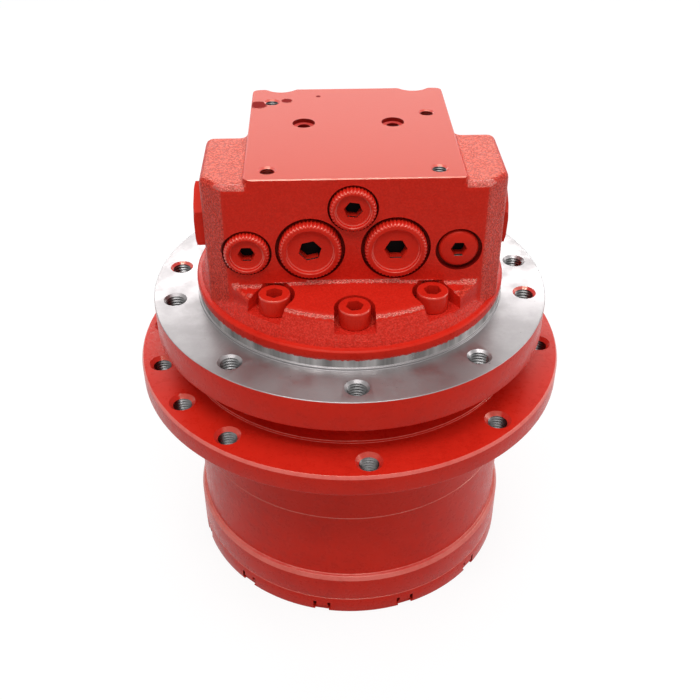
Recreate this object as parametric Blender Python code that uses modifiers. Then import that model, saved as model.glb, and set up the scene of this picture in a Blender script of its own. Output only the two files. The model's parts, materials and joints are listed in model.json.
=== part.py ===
"""Track final drive of a mini excavator: two-stage planetary gear, piston motor, brake and valve block.

Sizes are in millimetres and turned into metres by MM. The axis of the drive is Z, the cover is at the
bottom and the front of the valve block, with its plugs, faces -Y.
"""

import math

import bmesh
import bpy
from mathutils import Matrix, Vector

MM = 0.001
GAP = 0.3                      # seat clearance between touching pieces
ROUND_LARGE = 36               # sides of the big turned pieces
ROUND = 28                     # sides of the other turned pieces

# Hub: the turning barrel with its sprocket flange
RING_RIM = 1.95
HUB_WALL = 7.8
HUB_BASE_STEP = 2.9
HUB_BASE_TOP = 30.0
HUB_LEDGE = 0.6
HUB_FLANGE_W = 29.0
HUB_FLANGE_BOTTOM = 125.3
HUB_FLANGE_T = 13.0
HUB_FLANGE_CHAMFER = 1.6
HUB_LIP_W = 3.7
HUB_LIP_H = 1.7
HUB_HOLE_EDGE = 11.3
HUB_HOLE_ANGLES = (3, 43, 83, 103, 123, 143, 183, 223, 263, 283, 303, 323)
BOLT_HOLE_R = 5.4
BOLT_CHAMFER = 1.1

# Screwed end cover
COVER_T = 8.3
COVER_SPIGOT_H = 5.7
COVER_SPIGOT_W = 22.0
COVER_DISH = 4.0
COVER_CHAMFER = 0.8
NOTCH_COUNT = 12
NOTCH_START = 18.0
NOTCH_W = 8.6
NOTCH_H = 4.3
NOTCH_DEPTH = 1.6
COVER_PLUG_R = 9.0
COVER_PLUG_EDGE = 25.2
PLUG_HEX_AF = 10.0

# Gear train
MODULE = 2.5
RING_TEETH = 66
SUN_1_TEETH = 12
SUN_2_TEETH = 18
PLANETS = 3
TOOTH_BACKLASH = 0.42
RING_ADDENDUM = 0.8
GEAR_ADDENDUM = 1.0
GEAR_DEDENDUM = 1.22
RING_TOP = 77.0
STAGE_1_BOTTOM = 20.0
STAGE_1_FACE = 18.0
STAGE_2_BOTTOM = 50.0
STAGE_2_FACE = 23.5
CARRIER_BOTTOM = 38.8
CARRIER_T = 8.0
CARRIER_EDGE = 13.5
PIN_R = 9.0
PLANET_BORE_GAP = 0.6
PIN_HEAD_T = 1.2
PIN_HEAD_RIM = 1.6
SUN_2_BORE_R = 11.0
SUN_2_JOURNAL_R = 18.6

# Drive shaft and its bearing
SHAFT_TIP_R = 8.0
SHAFT_LOWER_R = 9.0
SHAFT_SEAL_R = 12.0
SHAFT_BEARING_R = 12.5
SHAFT_COLLAR_R = 15.0
SHAFT_UPPER_R = 12.0
SHAFT_SPLINE_R = 13.0
SHAFT_TAIL_R = 8.5
SHAFT_BEARING_BOTTOM = 88.0
SHAFT_BEARING_T = 15.0
SHAFT_BEARING_OUTER_R = 26.0
SHAFT_SEAL_OUTER_R = 20.0
SHAFT_SEAL_T = 7.0
SHAFT_BALLS = 9
SHAFT_BALL_R = 2.3
SHAFT_RACE_T = 4.6

# Main bearings, spindle nut and face seal, inwards from the barrel
BEARING_HOUSING_WALL = 15.0
BEARING_SECTION = 17.1
BEARING_T = 16.5
RACE_T = 5.0
ROLLER_R = 3.35
ROLLER_COUNT = 12
HUB_SHOULDER_W = 5.8
HUB_SHOULDER_T = 8.0
NUT_CLEAR = 3.2
NUT_T = 6.6
NUT_W = 8.4
NUT_SLOTS = 6
SEAL_RING_T = 7.0
SEAL_NECK_STEP = 9.7
SEAL_RUNNING_GAP = 0.8

# Spindle with its frame flange, outwards from the motor bore
NOSE_WALL = 8.0
SPINDLE_COLLAR_STEP = 5.7
FRAME_FLANGE_W = 22.8
FRAME_FLANGE_BOTTOM = 158.4
FRAME_FLANGE_T = 18.65
FRAME_FLANGE_CHAMFER = 0.8
FRAME_HOLE_EDGE = 11.8
FRAME_HOLE_ANGLES = (0, 40, 80, 100, 140, 180, 220, 260, 280, 320)
PILOT_STEP = 2.1
PILOT_STEP_H = 3.1
PILOT_WALL_H = 6.95
MOTOR_FLOOR_T = 1.0
BRAKE_STEP = 6.0
BRAKE_SHOULDER = 150.0

# Piston motor and its parking brake
SWASH_PIVOT_H = 18.0
SWASH_ANGLE = 15.0
SWASH_FACE_RISE = 2.0
SWASH_OVERHANG = 2.0
SWASH_T = 6.0
CRADLE_R = 17.0
CRADLE_INNER_X = 18.5
CRADLE_W = 15.0
SADDLE_H = 9.0
SPEED_PISTON_R = 7.0
SPEED_PISTON_EDGE = 7.0
SPEED_PISTON_H = 14.0
PISTON_COUNT = 9
PISTON_R = 6.2
PISTON_WALL = 13.0
PISTON_RECESS = 9.0
SHOE_R = 8.0
SHOE_T = 3.6
SHOE_CLEAR = 0.5
RETAINER_T = 2.4
BLOCK_CLEAR = 14.0
BLOCK_H = 29.0
VALVE_PLATE_T = 4.1
KIDNEY_HALF_W = 3.5
DISC_T = 2.5
DISC_CLEAR = 4.0
BRAKE_PISTON_T = 14.5
BRAKE_SPRING_EDGE = 3.0
BRAKE_SPRING_W = 7.0
BRAKE_SPRING_T = 1.4
BRAKE_SPRING_WAVES = 4

# Valve block
BLOCK_RIM_STEP = 0.5
BLOCK_RIM_H = 3.9
BLOCK_RIM_BEVEL = 2.8
BLOCK_RIM_BEVEL_H = 1.2
FOOT_FLANK_W = 8.3
FOOT_FLANK_H = 12.75
FOOT_CROWN_H = 3.6
SPIGOT_H = 7.15
BLOCK_X = 1.1
FRONT_Y = -48.0
BACK_Y = 69.0
PAD_HALF_W = 55.2
PAD_TOP = 265.5
SHOULDER_HALF_W = 78.0
SHOULDER_TOP = 258.5
SHOULDER_BACK_Y = 18.0
CORNER_CUT_X = 12.8
CORNER_CUT_Y = 26.0
PAD_CORNER_R = 4.0
CAP_SCREW_WALL = 4.8
CAP_SCREW_EDGE = 17.8
CAP_SCREW_ANGLES = (0, 36, 108, 144, 180, 216, 252, 324)
CAP_SCREW_R = 5.0
CAP_HEAD_R = 8.3
CAP_HEAD_H = 10.0
CAP_POCKET_GAP = 1.7
CAP_HEX_AF = 8.0
CAP_SCREW_LENGTH = 27.0

# Plugs on the front face, as (x, z, recess radius, head radius, hex across flats, knurls)
LARGE_PLUG_X = 22.0
LARGE_PLUG_Z = 225.8
LARGE_RECESS_R = 18.0
LARGE_HEAD_R = 16.2
LARGE_HEX_AF = 10.3
TOP_PLUG_Z = 248.9
SMALL_RECESS_R = 12.9
SMALL_HEAD_R = 12.0
SMALL_HEX_AF = 8.2
SIDE_PLUG_X = 54.6
SIDE_PLUG_Z = 224.3
PLAIN_RECESS_R = 12.1
PLAIN_HEAD_R = 10.4
PLAIN_HEX_AF = 7.2
RECESS_DEPTH = 4.0
PLUG_SHANK = 11.0

# Counterbalance spool across the block
SPOOL_Y = -15.0
SPOOL_Z = 230.0
SPOOL_R = 9.0
SPOOL_HALF = 34.0
SPOOL_STROKE = 4.0
SPOOL_LAND = 9.0
SPOOL_GROOVE_R = 5.5
SPRING_WIRE_R = 1.1
SPRING_TURNS = 4
CAP_SHANK_R = 14.0
CAP_SHANK = 12.0
CAP_HEX_R = 19.3
CAP_HEX_H = 5.1

# Ports on the back and threaded holes of the top pad
PORT_X = 24.0
PORT_Z = 243.0
PORT_R = 10.5
PORT_DEPTH = 24.0
PORT_STEP = 9.0
DRAIN_R = 6.5
PILOT_PORT_R = 4.6
PAD_HOLES = ((-42.4, -37.5), (43.4, -37.8), (-42.5, 50.2), (44.1, 32.6))
PAD_HOLE_R = 3.9
PAD_SINK_X = 24.3
PAD_SINK_Y = 20.0
PAD_SINK_R = 5.4
SCALLOP_X = 38.5
SCALLOP_R = 10.7
SCALLOP_DEPTH = 4.4

RING_R = MODULE * RING_TEETH / 2
RING_ROOT_R = RING_R + MODULE * GEAR_DEDENDUM
HUB_BORE_R = RING_ROOT_R + RING_RIM
HUB_R = HUB_BORE_R + HUB_WALL
HUB_BASE_R = HUB_R + HUB_BASE_STEP
HUB_LIP_R = HUB_R + HUB_LIP_W
HUB_FLANGE_R = HUB_R + HUB_FLANGE_W
HUB_HOLE_PCR = HUB_FLANGE_R - HUB_HOLE_EDGE
HUB_FLANGE_TOP = HUB_FLANGE_BOTTOM + HUB_FLANGE_T
HUB_TOP = HUB_FLANGE_TOP + HUB_LIP_H
HUB_BOTTOM = COVER_T + GAP
COVER_SPIGOT_R = HUB_BORE_R - GAP
COVER_SPIGOT_TOP = COVER_T + COVER_SPIGOT_H
COVER_PLUG_PCR = COVER_SPIGOT_R - COVER_PLUG_EDGE
PLANET_1_TEETH = (RING_TEETH - SUN_1_TEETH) // 2
PLANET_2_TEETH = (RING_TEETH - SUN_2_TEETH) // 2
PLANET_1_PCR = MODULE * (SUN_1_TEETH + PLANET_1_TEETH) / 2
PLANET_2_PCR = MODULE * (SUN_2_TEETH + PLANET_2_TEETH) / 2
STAGE_1_TOP = STAGE_1_BOTTOM + STAGE_1_FACE
STAGE_2_TOP = STAGE_2_BOTTOM + STAGE_2_FACE
CARRIER_TOP = CARRIER_BOTTOM + CARRIER_T
NOSE_FACE = STAGE_2_TOP + 0.8
SHAFT_BOTTOM = STAGE_1_BOTTOM - 2.0
SHAFT_BEARING_TOP = SHAFT_BEARING_BOTTOM + SHAFT_BEARING_T
SHAFT_BALL_PCR = SHAFT_BEARING_R + SHAFT_RACE_T + 2.1
NUT_BOTTOM = NOSE_FACE + NUT_CLEAR
BEARING_LOWER_BOTTOM = NUT_BOTTOM + NUT_T + GAP
HUB_SHOULDER_BOTTOM = BEARING_LOWER_BOTTOM + BEARING_T + GAP
BEARING_UPPER_BOTTOM = HUB_SHOULDER_BOTTOM + HUB_SHOULDER_T + GAP
BEARING_UPPER_TOP = BEARING_UPPER_BOTTOM + BEARING_T
HUB_BEARING_R = HUB_R - BEARING_HOUSING_WALL
HUB_SHOULDER_R = HUB_BEARING_R - HUB_SHOULDER_W
BEARING_OUTER_R = HUB_BEARING_R - 2 * GAP
BEARING_BORE_R = BEARING_OUTER_R - BEARING_SECTION
NOSE_R = BEARING_BORE_R - 2 * GAP
NUT_R = BEARING_BORE_R + NUT_W
SEAL_NECK_R = NOSE_R + SEAL_NECK_STEP
SPINDLE_COLLAR_R = HUB_BEARING_R + SPINDLE_COLLAR_STEP
MOTOR_BORE_R = NOSE_R - NOSE_WALL
BRAKE_BORE_R = MOTOR_BORE_R + BRAKE_STEP
CAP_SCREW_PCR = BRAKE_BORE_R + CAP_SCREW_WALL + CAP_SCREW_R
PILOT_WALL_R = CAP_SCREW_PCR + CAP_SCREW_EDGE
PILOT_R = PILOT_WALL_R + PILOT_STEP
FRAME_FLANGE_R = PILOT_R + FRAME_FLANGE_W
FRAME_HOLE_PCR = FRAME_FLANGE_R - FRAME_HOLE_EDGE
FRAME_FLANGE_TOP = FRAME_FLANGE_BOTTOM + FRAME_FLANGE_T
PILOT_TOP = FRAME_FLANGE_TOP + PILOT_WALL_H
INNER_RACE_R = BEARING_BORE_R + RACE_T - GAP
OUTER_RACE_R = BEARING_OUTER_R - RACE_T + 0.6
ROLLER_PCR = (INNER_RACE_R + OUTER_RACE_R) / 2
SEAL_LOWER_BOTTOM = BEARING_UPPER_TOP + GAP
SEAL_UPPER_BOTTOM = SEAL_LOWER_BOTTOM + SEAL_RING_T + GAP
SPINDLE_COLLAR_BOTTOM = SEAL_UPPER_BOTTOM + SEAL_RING_T + GAP
MOTOR_FLOOR = SHAFT_BEARING_TOP + MOTOR_FLOOR_T
BLOCK_R = MOTOR_BORE_R - BLOCK_CLEAR
SWASH_R = BLOCK_R + SWASH_OVERHANG
VALVE_PLATE_R = SWASH_R
PISTON_PCR = BLOCK_R - PISTON_WALL
SPEED_PISTON_Y = SWASH_R - SPEED_PISTON_EDGE
SWASH_PIVOT_Z = MOTOR_FLOOR + SWASH_PIVOT_H
SWASH_CENTRE_Z = SWASH_PIVOT_Z + SWASH_FACE_RISE
SHOE_BOTTOM = SWASH_CENTRE_Z + (PISTON_PCR + SHOE_R) * math.tan(math.radians(SWASH_ANGLE)) + SHOE_CLEAR
SHOE_TOP = SHOE_BOTTOM + SHOE_T
BLOCK_BOTTOM = PILOT_TOP + GAP / 2
SPIGOT_BOTTOM = BLOCK_BOTTOM - SPIGOT_H
VALVE_PLATE_TOP = SPIGOT_BOTTOM - GAP
VALVE_PLATE_BOTTOM = VALVE_PLATE_TOP - VALVE_PLATE_T
CYLINDER_TOP = VALVE_PLATE_BOTTOM - GAP
CYLINDER_BOTTOM = CYLINDER_TOP - BLOCK_H
SEPARATOR_BOTTOM = BRAKE_SHOULDER + GAP
FRICTION_BOTTOM = SEPARATOR_BOTTOM + DISC_T + GAP
BRAKE_PISTON_BOTTOM = FRICTION_BOTTOM + DISC_T + GAP
BRAKE_PISTON_TOP = BRAKE_PISTON_BOTTOM + BRAKE_PISTON_T
DISC_R = BRAKE_BORE_R - DISC_CLEAR
BLOCK_RIM_R = PILOT_WALL_R - BLOCK_RIM_STEP
BLOCK_RIM_BEVEL_R = BLOCK_RIM_R - BLOCK_RIM_BEVEL
BLOCK_RIM_TOP = BLOCK_BOTTOM + BLOCK_RIM_H + BLOCK_RIM_BEVEL_H
FOOT_R = BLOCK_RIM_BEVEL_R - FOOT_FLANK_W
FOOT_EDGE_Z = BLOCK_RIM_TOP + FOOT_FLANK_H
FOOT_CROWN_Z = FOOT_EDGE_Z + FOOT_CROWN_H
CAP_HEAD_TOP = FOOT_CROWN_Z - 0.1
CAP_SEAT = CAP_HEAD_TOP - CAP_HEAD_H - GAP
CAP_POCKET_R = CAP_HEAD_R + CAP_POCKET_GAP
CAP_FACE_X = SHOULDER_HALF_W - BLOCK_X

STEEL = (0.55, 0.56, 0.58)
RED = (0.46, 0.02, 0.012)
CAST = (0.24, 0.24, 0.25)
BRONZE = (0.55, 0.36, 0.14)
RUBBER = (0.02, 0.02, 0.02)


def clear_scene():
    for obj in list(bpy.data.objects):
        bpy.data.objects.remove(obj, do_unlink=True)


def new_collection(name):
    collection = bpy.data.collections.new(name)
    bpy.context.scene.collection.children.link(collection)
    return collection


def finish_of(name, color, roughness, metallic):
    material = bpy.data.materials.new(name)
    material.use_nodes = True
    shader = material.node_tree.nodes["Principled BSDF"]
    shader.inputs["Base Color"].default_value = (*color, 1.0)
    shader.inputs["Roughness"].default_value = roughness
    shader.inputs["Metallic"].default_value = metallic
    material.diffuse_color = (*color, 1.0)
    return material


clear_scene()
PARTS = new_collection("excavator_final_drive")
CUTTERS = new_collection("cutters")


def polar(radius, angle_deg, z=0.0):
    """A point at an angle counted from the front (-Y) towards +X, as seen from above."""
    angle = math.radians(angle_deg)
    return Vector((radius * math.sin(angle), -radius * math.cos(angle), z))


def link(name, mesh, finish=None, cutter=False):
    obj = bpy.data.objects.new(name, mesh)
    if cutter:
        CUTTERS.objects.link(obj)
        obj.hide_render = True
        obj.display_type = "WIRE"
    else:
        PARTS.objects.link(obj)
        mesh.materials.append(finish_of(name, *finish))
    return obj


def turned_mesh(name, profile, segments, closed):
    """A profile of (radius, z) turned about Z, running down the outer side and, if closed, up the bore."""
    mesh = bpy.data.meshes.new(name)
    points = [(r * MM, 0.0, z * MM) for r, z in profile]
    edges = [(i, i + 1) for i in range(len(points) - 1)]
    if closed:
        edges.append((len(points) - 1, 0))
    mesh.from_pydata(points, edges, [])
    turner = bpy.data.objects.new(name + "_profile", mesh)
    CUTTERS.objects.link(turner)
    screw = turner.modifiers.new("turn", "SCREW")
    screw.axis = "Z"
    screw.angle = math.tau
    screw.steps = segments
    screw.render_steps = segments
    screw.use_merge_vertices = True
    screw.merge_threshold = 0.00001
    graph = bpy.context.evaluated_depsgraph_get()
    graph.update()
    turned = bpy.data.meshes.new_from_object(turner.evaluated_get(graph))
    bpy.data.objects.remove(turner)
    turned.name = name
    return turned


def turned(name, profile, finish=None, segments=ROUND, closed=True, cutter=False):
    mesh = turned_mesh(name, profile, segments, closed)
    mesh.shade_smooth()
    mesh.set_sharp_from_angle(angle=math.radians(30))
    return link(name, mesh, finish, cutter)


def ring_profile(inner_r, outer_r, bottom, top):
    return [(outer_r, top), (outer_r, bottom), (inner_r, bottom), (inner_r, top)]


def disc_profile(outer_r, bottom, top):
    return [(0.0, top), (outer_r, top), (outer_r, bottom), (0.0, bottom)]


def extruded_mesh(name, outlines, bottom, top):
    """Closed outlines of (x, y) points, the first the outer one and the rest holes, extruded along Z."""
    curve = bpy.data.curves.new(name, "CURVE")
    curve.dimensions = "2D"
    curve.fill_mode = "BOTH"
    curve.extrude = (top - bottom) * MM / 2
    for outline in outlines:
        spline = curve.splines.new("POLY")
        spline.points.add(len(outline) - 1)
        for point, (x, y) in zip(spline.points, outline):
            point.co = (x * MM, y * MM, 0.0, 1.0)
        spline.use_cyclic_u = True
    flat = bpy.data.objects.new(name + "_outline", curve)
    CUTTERS.objects.link(flat)
    graph = bpy.context.evaluated_depsgraph_get()
    graph.update()
    mesh = bpy.data.meshes.new_from_object(flat.evaluated_get(graph))
    bpy.data.objects.remove(flat)
    mesh.name = name
    body = bmesh.new()
    body.from_mesh(mesh)
    bmesh.ops.remove_doubles(body, verts=body.verts, dist=0.000001)
    bmesh.ops.translate(body, verts=body.verts, vec=(0, 0, (top + bottom) * MM / 2))
    bmesh.ops.recalc_face_normals(body, faces=body.faces)
    body.to_mesh(mesh)
    body.free()
    return mesh


def extruded(name, outlines, bottom, top, finish=None, cutter=False):
    return link(name, extruded_mesh(name, outlines, bottom, top), finish, cutter)


def circle(radius, count, x=0.0, y=0.0, phase=0.0):
    turns = [phase + math.tau * i / count for i in range(count)]
    return [(x + radius * math.cos(t), y + radius * math.sin(t)) for t in turns]


def rods(name, places, radius, bottom, top, segments=12, top_radius=None, axis=None, finish=None,
         cutter=True):
    """Upright cylinders or cones at each (x, y), in one mesh, or turned to lie along a matrix."""
    body = bmesh.new()
    for x, y in places:
        shift = Matrix.Translation(Vector((x, y, (top + bottom) / 2)) * MM)
        bmesh.ops.create_cone(
            body,
            cap_ends=True,
            segments=segments,
            radius1=radius * MM,
            radius2=(radius if top_radius is None else top_radius) * MM,
            depth=(top - bottom) * MM,
            matrix=shift,
        )
    if axis is not None:
        bmesh.ops.transform(body, matrix=axis, verts=body.verts)
    mesh = bpy.data.meshes.new(name)
    body.to_mesh(mesh)
    body.free()
    return link(name, mesh, finish, cutter)


def stepped(name, places, profile, segments, axis=None):
    """One cutter with a turned body at each (x, y); the (radius, z) profile begins and ends on the axis."""
    pattern = turned_mesh(name, profile, segments, closed=False)
    body = bmesh.new()
    for x, y in places:
        before = set(body.verts)
        body.from_mesh(pattern)
        added = [vert for vert in body.verts if vert not in before]
        bmesh.ops.translate(body, verts=added, vec=Vector((x, y, 0)) * MM)
    if axis is not None:
        bmesh.ops.transform(body, matrix=axis, verts=body.verts)
    body.to_mesh(pattern)
    body.free()
    return link(name, pattern, cutter=True)


def box(name, low, high, count=1, start=0.0):
    """A block given by two corners, or a ring of such blocks about Z."""
    size = Vector(high) - Vector(low)
    centre = (Vector(high) + Vector(low)) / 2
    body = bmesh.new()
    for i in range(count):
        turn = Matrix.Rotation(math.radians(start) + math.tau * i / count, 4, "Z")
        shape = turn @ Matrix.Translation(centre * MM) @ Matrix.Diagonal((*(size * MM), 1.0))
        bmesh.ops.create_cube(body, size=1.0, matrix=shape)
    mesh = bpy.data.meshes.new(name)
    body.to_mesh(mesh)
    body.free()
    return link(name, mesh, cutter=True)


def combine(obj, tool, operation):
    step = obj.modifiers.new(tool.name, "BOOLEAN")
    step.operation = operation
    step.solver = "EXACT"
    step.object = tool


def cut(obj, *tools):
    for tool in tools:
        combine(obj, tool, "DIFFERENCE")


def join(obj, *tools):
    for tool in tools:
        combine(obj, tool, "UNION")


def lying_along(direction, point):
    """The matrix that turns a shape built along Z to lie along a direction, with its zero at a point."""
    turn = Vector(direction).to_track_quat("Z", "Y").to_matrix().to_4x4()
    return Matrix.Translation(Vector(point) * MM) @ turn


def hexagon(across_flats, phase=0.0):
    return circle(across_flats / math.sqrt(3), 6, phase=phase)


def flank_angle(teeth, radius, pitch_half):
    """The half angle of a tooth at a radius, from the involute of a 20 degree rack."""
    base = MODULE * teeth / 2 * math.cos(math.radians(20))
    pitch_roll = math.tan(math.radians(20)) - math.radians(20)
    if radius <= base:
        return pitch_half + pitch_roll
    pressure = math.acos(base / radius)
    return pitch_half + pitch_roll - (math.tan(pressure) - pressure)


def gear_outline(teeth, phase, internal=False):
    """Teeth with one centred on the phase angle; an internal ring has a tooth space there instead."""
    pitch_r = MODULE * teeth / 2
    if internal:
        tip_r = pitch_r + MODULE * GEAR_DEDENDUM
        root_r = pitch_r - MODULE * RING_ADDENDUM
        half = (MODULE * math.pi / 2 + TOOTH_BACKLASH) / 2 / pitch_r
    else:
        tip_r = pitch_r + MODULE * GEAR_ADDENDUM
        root_r = pitch_r - MODULE * GEAR_DEDENDUM
        half = (MODULE * math.pi / 2 - TOOTH_BACKLASH) / 2 / pitch_r
    tip_half = flank_angle(teeth, tip_r, half)
    root_half = flank_angle(teeth, max(root_r, pitch_r - MODULE * 0.9), half)
    points = []
    for tooth in range(teeth):
        middle = phase + math.tau * tooth / teeth
        corners = ((root_r, -root_half), (tip_r, -tip_half), (tip_r, tip_half), (root_r, root_half))
        for radius, half in corners:
            points.append((radius * math.cos(middle + half), radius * math.sin(middle + half)))
    return points


def planet_angles(start):
    """Planet directions as mathematical angles about Z."""
    return [start + math.tau * i / PLANETS for i in range(PLANETS)]


def planet_phase(direction, planet_teeth):
    """The turn that puts a planet's tooth into the nearest space of the ring, whose spaces start at zero."""
    pitch = math.tau / RING_TEETH
    offset = round(direction / pitch) * pitch - direction
    return direction + offset * RING_TEETH / planet_teeth


def sun_phase(direction, planet_teeth, sun_teeth):
    """The turn of a sun with a space facing the planet tooth that points at it, or comes nearest to it."""
    inward = direction + math.pi
    pitch = math.tau / planet_teeth
    first = planet_phase(direction, planet_teeth)
    offset = (first - inward) - round((first - inward) / pitch) * pitch
    return direction - offset * planet_teeth / sun_teeth + math.pi / sun_teeth


def knurled_head(name, radius, knurls, length):
    """A plug head along Z with fine straight knurling round it."""
    outline = []
    for i in range(knurls * 2):
        angle = math.tau * i / (knurls * 2)
        r = radius if i % 2 else radius - 0.7
        outline.append((r * math.cos(angle), r * math.sin(angle)))
    return extruded_mesh(name, [outline], 0.0, length)


PAINTED = (RED, 0.35, 0.0)
MACHINED = (STEEL, 0.3, 1.0)
CAST_IRON = (CAST, 0.5, 1.0)
BRONZE_FACE = (BRONZE, 0.35, 1.0)
RUBBERY = (RUBBER, 0.6, 0.0)


# Hub and cover
def make_hub():
    outside = [
        (HUB_LIP_R, HUB_TOP),
        (HUB_LIP_R, HUB_FLANGE_TOP),
        (HUB_FLANGE_R - HUB_FLANGE_CHAMFER, HUB_FLANGE_TOP),
        (HUB_FLANGE_R, HUB_FLANGE_TOP - HUB_FLANGE_CHAMFER),
        (HUB_FLANGE_R, HUB_FLANGE_BOTTOM),
        (HUB_R, HUB_FLANGE_BOTTOM),
        (HUB_R, HUB_BASE_TOP + HUB_LEDGE),
        (HUB_BASE_R - 1.5, HUB_BASE_TOP + HUB_LEDGE),
        (HUB_BASE_R, HUB_BASE_TOP - 1),
        (HUB_BASE_R, HUB_BOTTOM),
    ]
    inside = [
        (HUB_BORE_R, HUB_BOTTOM),
        (HUB_BORE_R, RING_TOP),
        (HUB_BORE_R - 1.3, BEARING_LOWER_BOTTOM - 0.7),
        (HUB_BEARING_R, BEARING_LOWER_BOTTOM - 0.7),
        (HUB_BEARING_R, HUB_SHOULDER_BOTTOM),
        (HUB_SHOULDER_R, HUB_SHOULDER_BOTTOM),
        (HUB_SHOULDER_R, HUB_SHOULDER_BOTTOM + HUB_SHOULDER_T),
        (HUB_BEARING_R, HUB_SHOULDER_BOTTOM + HUB_SHOULDER_T),
        (HUB_BEARING_R, HUB_TOP),
    ]
    hub = turned("hub", outside + inside, PAINTED, segments=ROUND_LARGE)
    outlines = [circle(HUB_BORE_R + 1.5, ROUND_LARGE), gear_outline(RING_TEETH, 0.0, internal=True)]
    ring = extruded_mesh("ring_teeth", outlines, COVER_SPIGOT_TOP + GAP, RING_TOP - 0.5)
    join(hub, link("ring_teeth", ring, cutter=True))
    holes = [polar(HUB_HOLE_PCR, a)[:2] for a in HUB_HOLE_ANGLES]
    cut(hub, threaded_holes("hub_hole", holes, HUB_FLANGE_BOTTOM, HUB_FLANGE_TOP))
    return hub


def threaded_holes(name, places, bottom, top):
    """A cutter for through holes with a chamfered mouth at the top."""
    mouth_r = BOLT_HOLE_R + BOLT_CHAMFER
    profile = [(0.0, top + 1), (mouth_r + 1, top + 1), (BOLT_HOLE_R, top - BOLT_CHAMFER),
               (BOLT_HOLE_R, bottom - 1), (0.0, bottom - 1)]
    return stepped(name, places, profile, 8)


def make_cover():
    dish = COVER_SPIGOT_TOP - COVER_DISH
    profile = [
        (COVER_SPIGOT_R - COVER_SPIGOT_W, COVER_SPIGOT_TOP),
        (COVER_SPIGOT_R, COVER_SPIGOT_TOP),
        (COVER_SPIGOT_R, COVER_T),
        (HUB_BASE_R, COVER_T),
        (HUB_BASE_R, COVER_CHAMFER),
        (HUB_BASE_R - COVER_CHAMFER, 0.0),
        (0.0, 0.0),
    ]
    centre = [
        (0.0, SHAFT_BOTTOM - GAP),
        (SHAFT_TIP_R - 2.0, SHAFT_BOTTOM - GAP),
        (SHAFT_TIP_R - 0.5, dish),
        (COVER_SPIGOT_R - COVER_SPIGOT_W - COVER_DISH, dish),
    ]
    cover = turned("end_cover", centre + profile, PAINTED, segments=ROUND_LARGE, closed=False)
    low = (-NOTCH_W / 2, -HUB_BASE_R - 1, -1)
    high = (NOTCH_W / 2, -HUB_BASE_R + NOTCH_DEPTH, NOTCH_H)
    cut(cover, box("cover_notches", low, high, NOTCH_COUNT, NOTCH_START))
    sides = [(COVER_PLUG_PCR, 0.0), (-COVER_PLUG_PCR, 0.0)]
    cut(cover, rods("cover_plug_bore", sides, COVER_PLUG_R + GAP, -1, COVER_SPIGOT_TOP + 1, segments=12))
    for name, (x, y) in zip(("fill_plug", "drain_plug"), sides):
        plug = turned(name, disc_profile(COVER_PLUG_R, 1.2, dish - 1), MACHINED, 12, closed=False)
        socket = extruded(name + "_socket", [hexagon(PLUG_HEX_AF)], -1, 6.0, cutter=True)
        plug.location = Vector((x, y, 0)) * MM
        socket.location = plug.location
        cut(plug, socket)


def make_bearings():
    for level, bottom in (("lower", BEARING_LOWER_BOTTOM), ("upper", BEARING_UPPER_BOTTOM)):
        top = bottom + BEARING_T
        races = (("inner", BEARING_BORE_R, INNER_RACE_R), ("outer", OUTER_RACE_R, BEARING_OUTER_R))
        for ring, low_r, high_r in races:
            turned(f"main_bearing_{ring}_{level}", ring_profile(low_r, high_r, bottom, top), MACHINED)
        cage = turned("main_bearing_cage_" + level,
                      ring_profile(ROLLER_PCR - 0.8, ROLLER_PCR + 0.8, bottom + 0.6, top - 2.2), BRONZE_FACE)
        places = [polar(ROLLER_PCR, 360 * i / ROLLER_COUNT)[:2] for i in range(ROLLER_COUNT)]
        join(cage, rods("rollers_" + level, places, ROLLER_R, bottom + 1.8, top - 3.4, segments=6))
    nut_top = NUT_BOTTOM + NUT_T
    nut = turned("spindle_nut", ring_profile(BEARING_BORE_R, NUT_R, NUT_BOTTOM, nut_top), MACHINED)
    cut(nut, box("nut_slots", (-3, NUT_R - 3, NUT_BOTTOM - 1), (3, NUT_R + 1, nut_top + 1), NUT_SLOTS))


def make_face_seal():
    inner = SEAL_NECK_R + SEAL_RUNNING_GAP
    for name, bottom, top, narrow in (
        ("seal_ring_lower", SEAL_LOWER_BOTTOM, SEAL_LOWER_BOTTOM + SEAL_RING_T, "bottom"),
        ("seal_ring_upper", SEAL_UPPER_BOTTOM, SEAL_UPPER_BOTTOM + SEAL_RING_T, "top"),
    ):
        wide = HUB_BEARING_R - SEAL_RUNNING_GAP
        slim = inner + 3.5
        if narrow == "bottom":
            profile = [(wide, top), (wide, top - 2), (slim, bottom), (inner, bottom), (inner, top)]
        else:
            profile = [(slim, top), (wide, bottom + 2), (wide, bottom), (inner, bottom), (inner, top)]
        turned(name, profile, MACHINED)


def pin_profile(tip, root):
    """A planet pin whose lower end carries a thin head that keeps the planet on."""
    head = PIN_R + PIN_HEAD_RIM
    seat = tip + PIN_HEAD_T
    return [(0.0, root), (PIN_R, root), (PIN_R, seat), (head, seat), (head, tip), (0.0, tip)]


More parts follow.
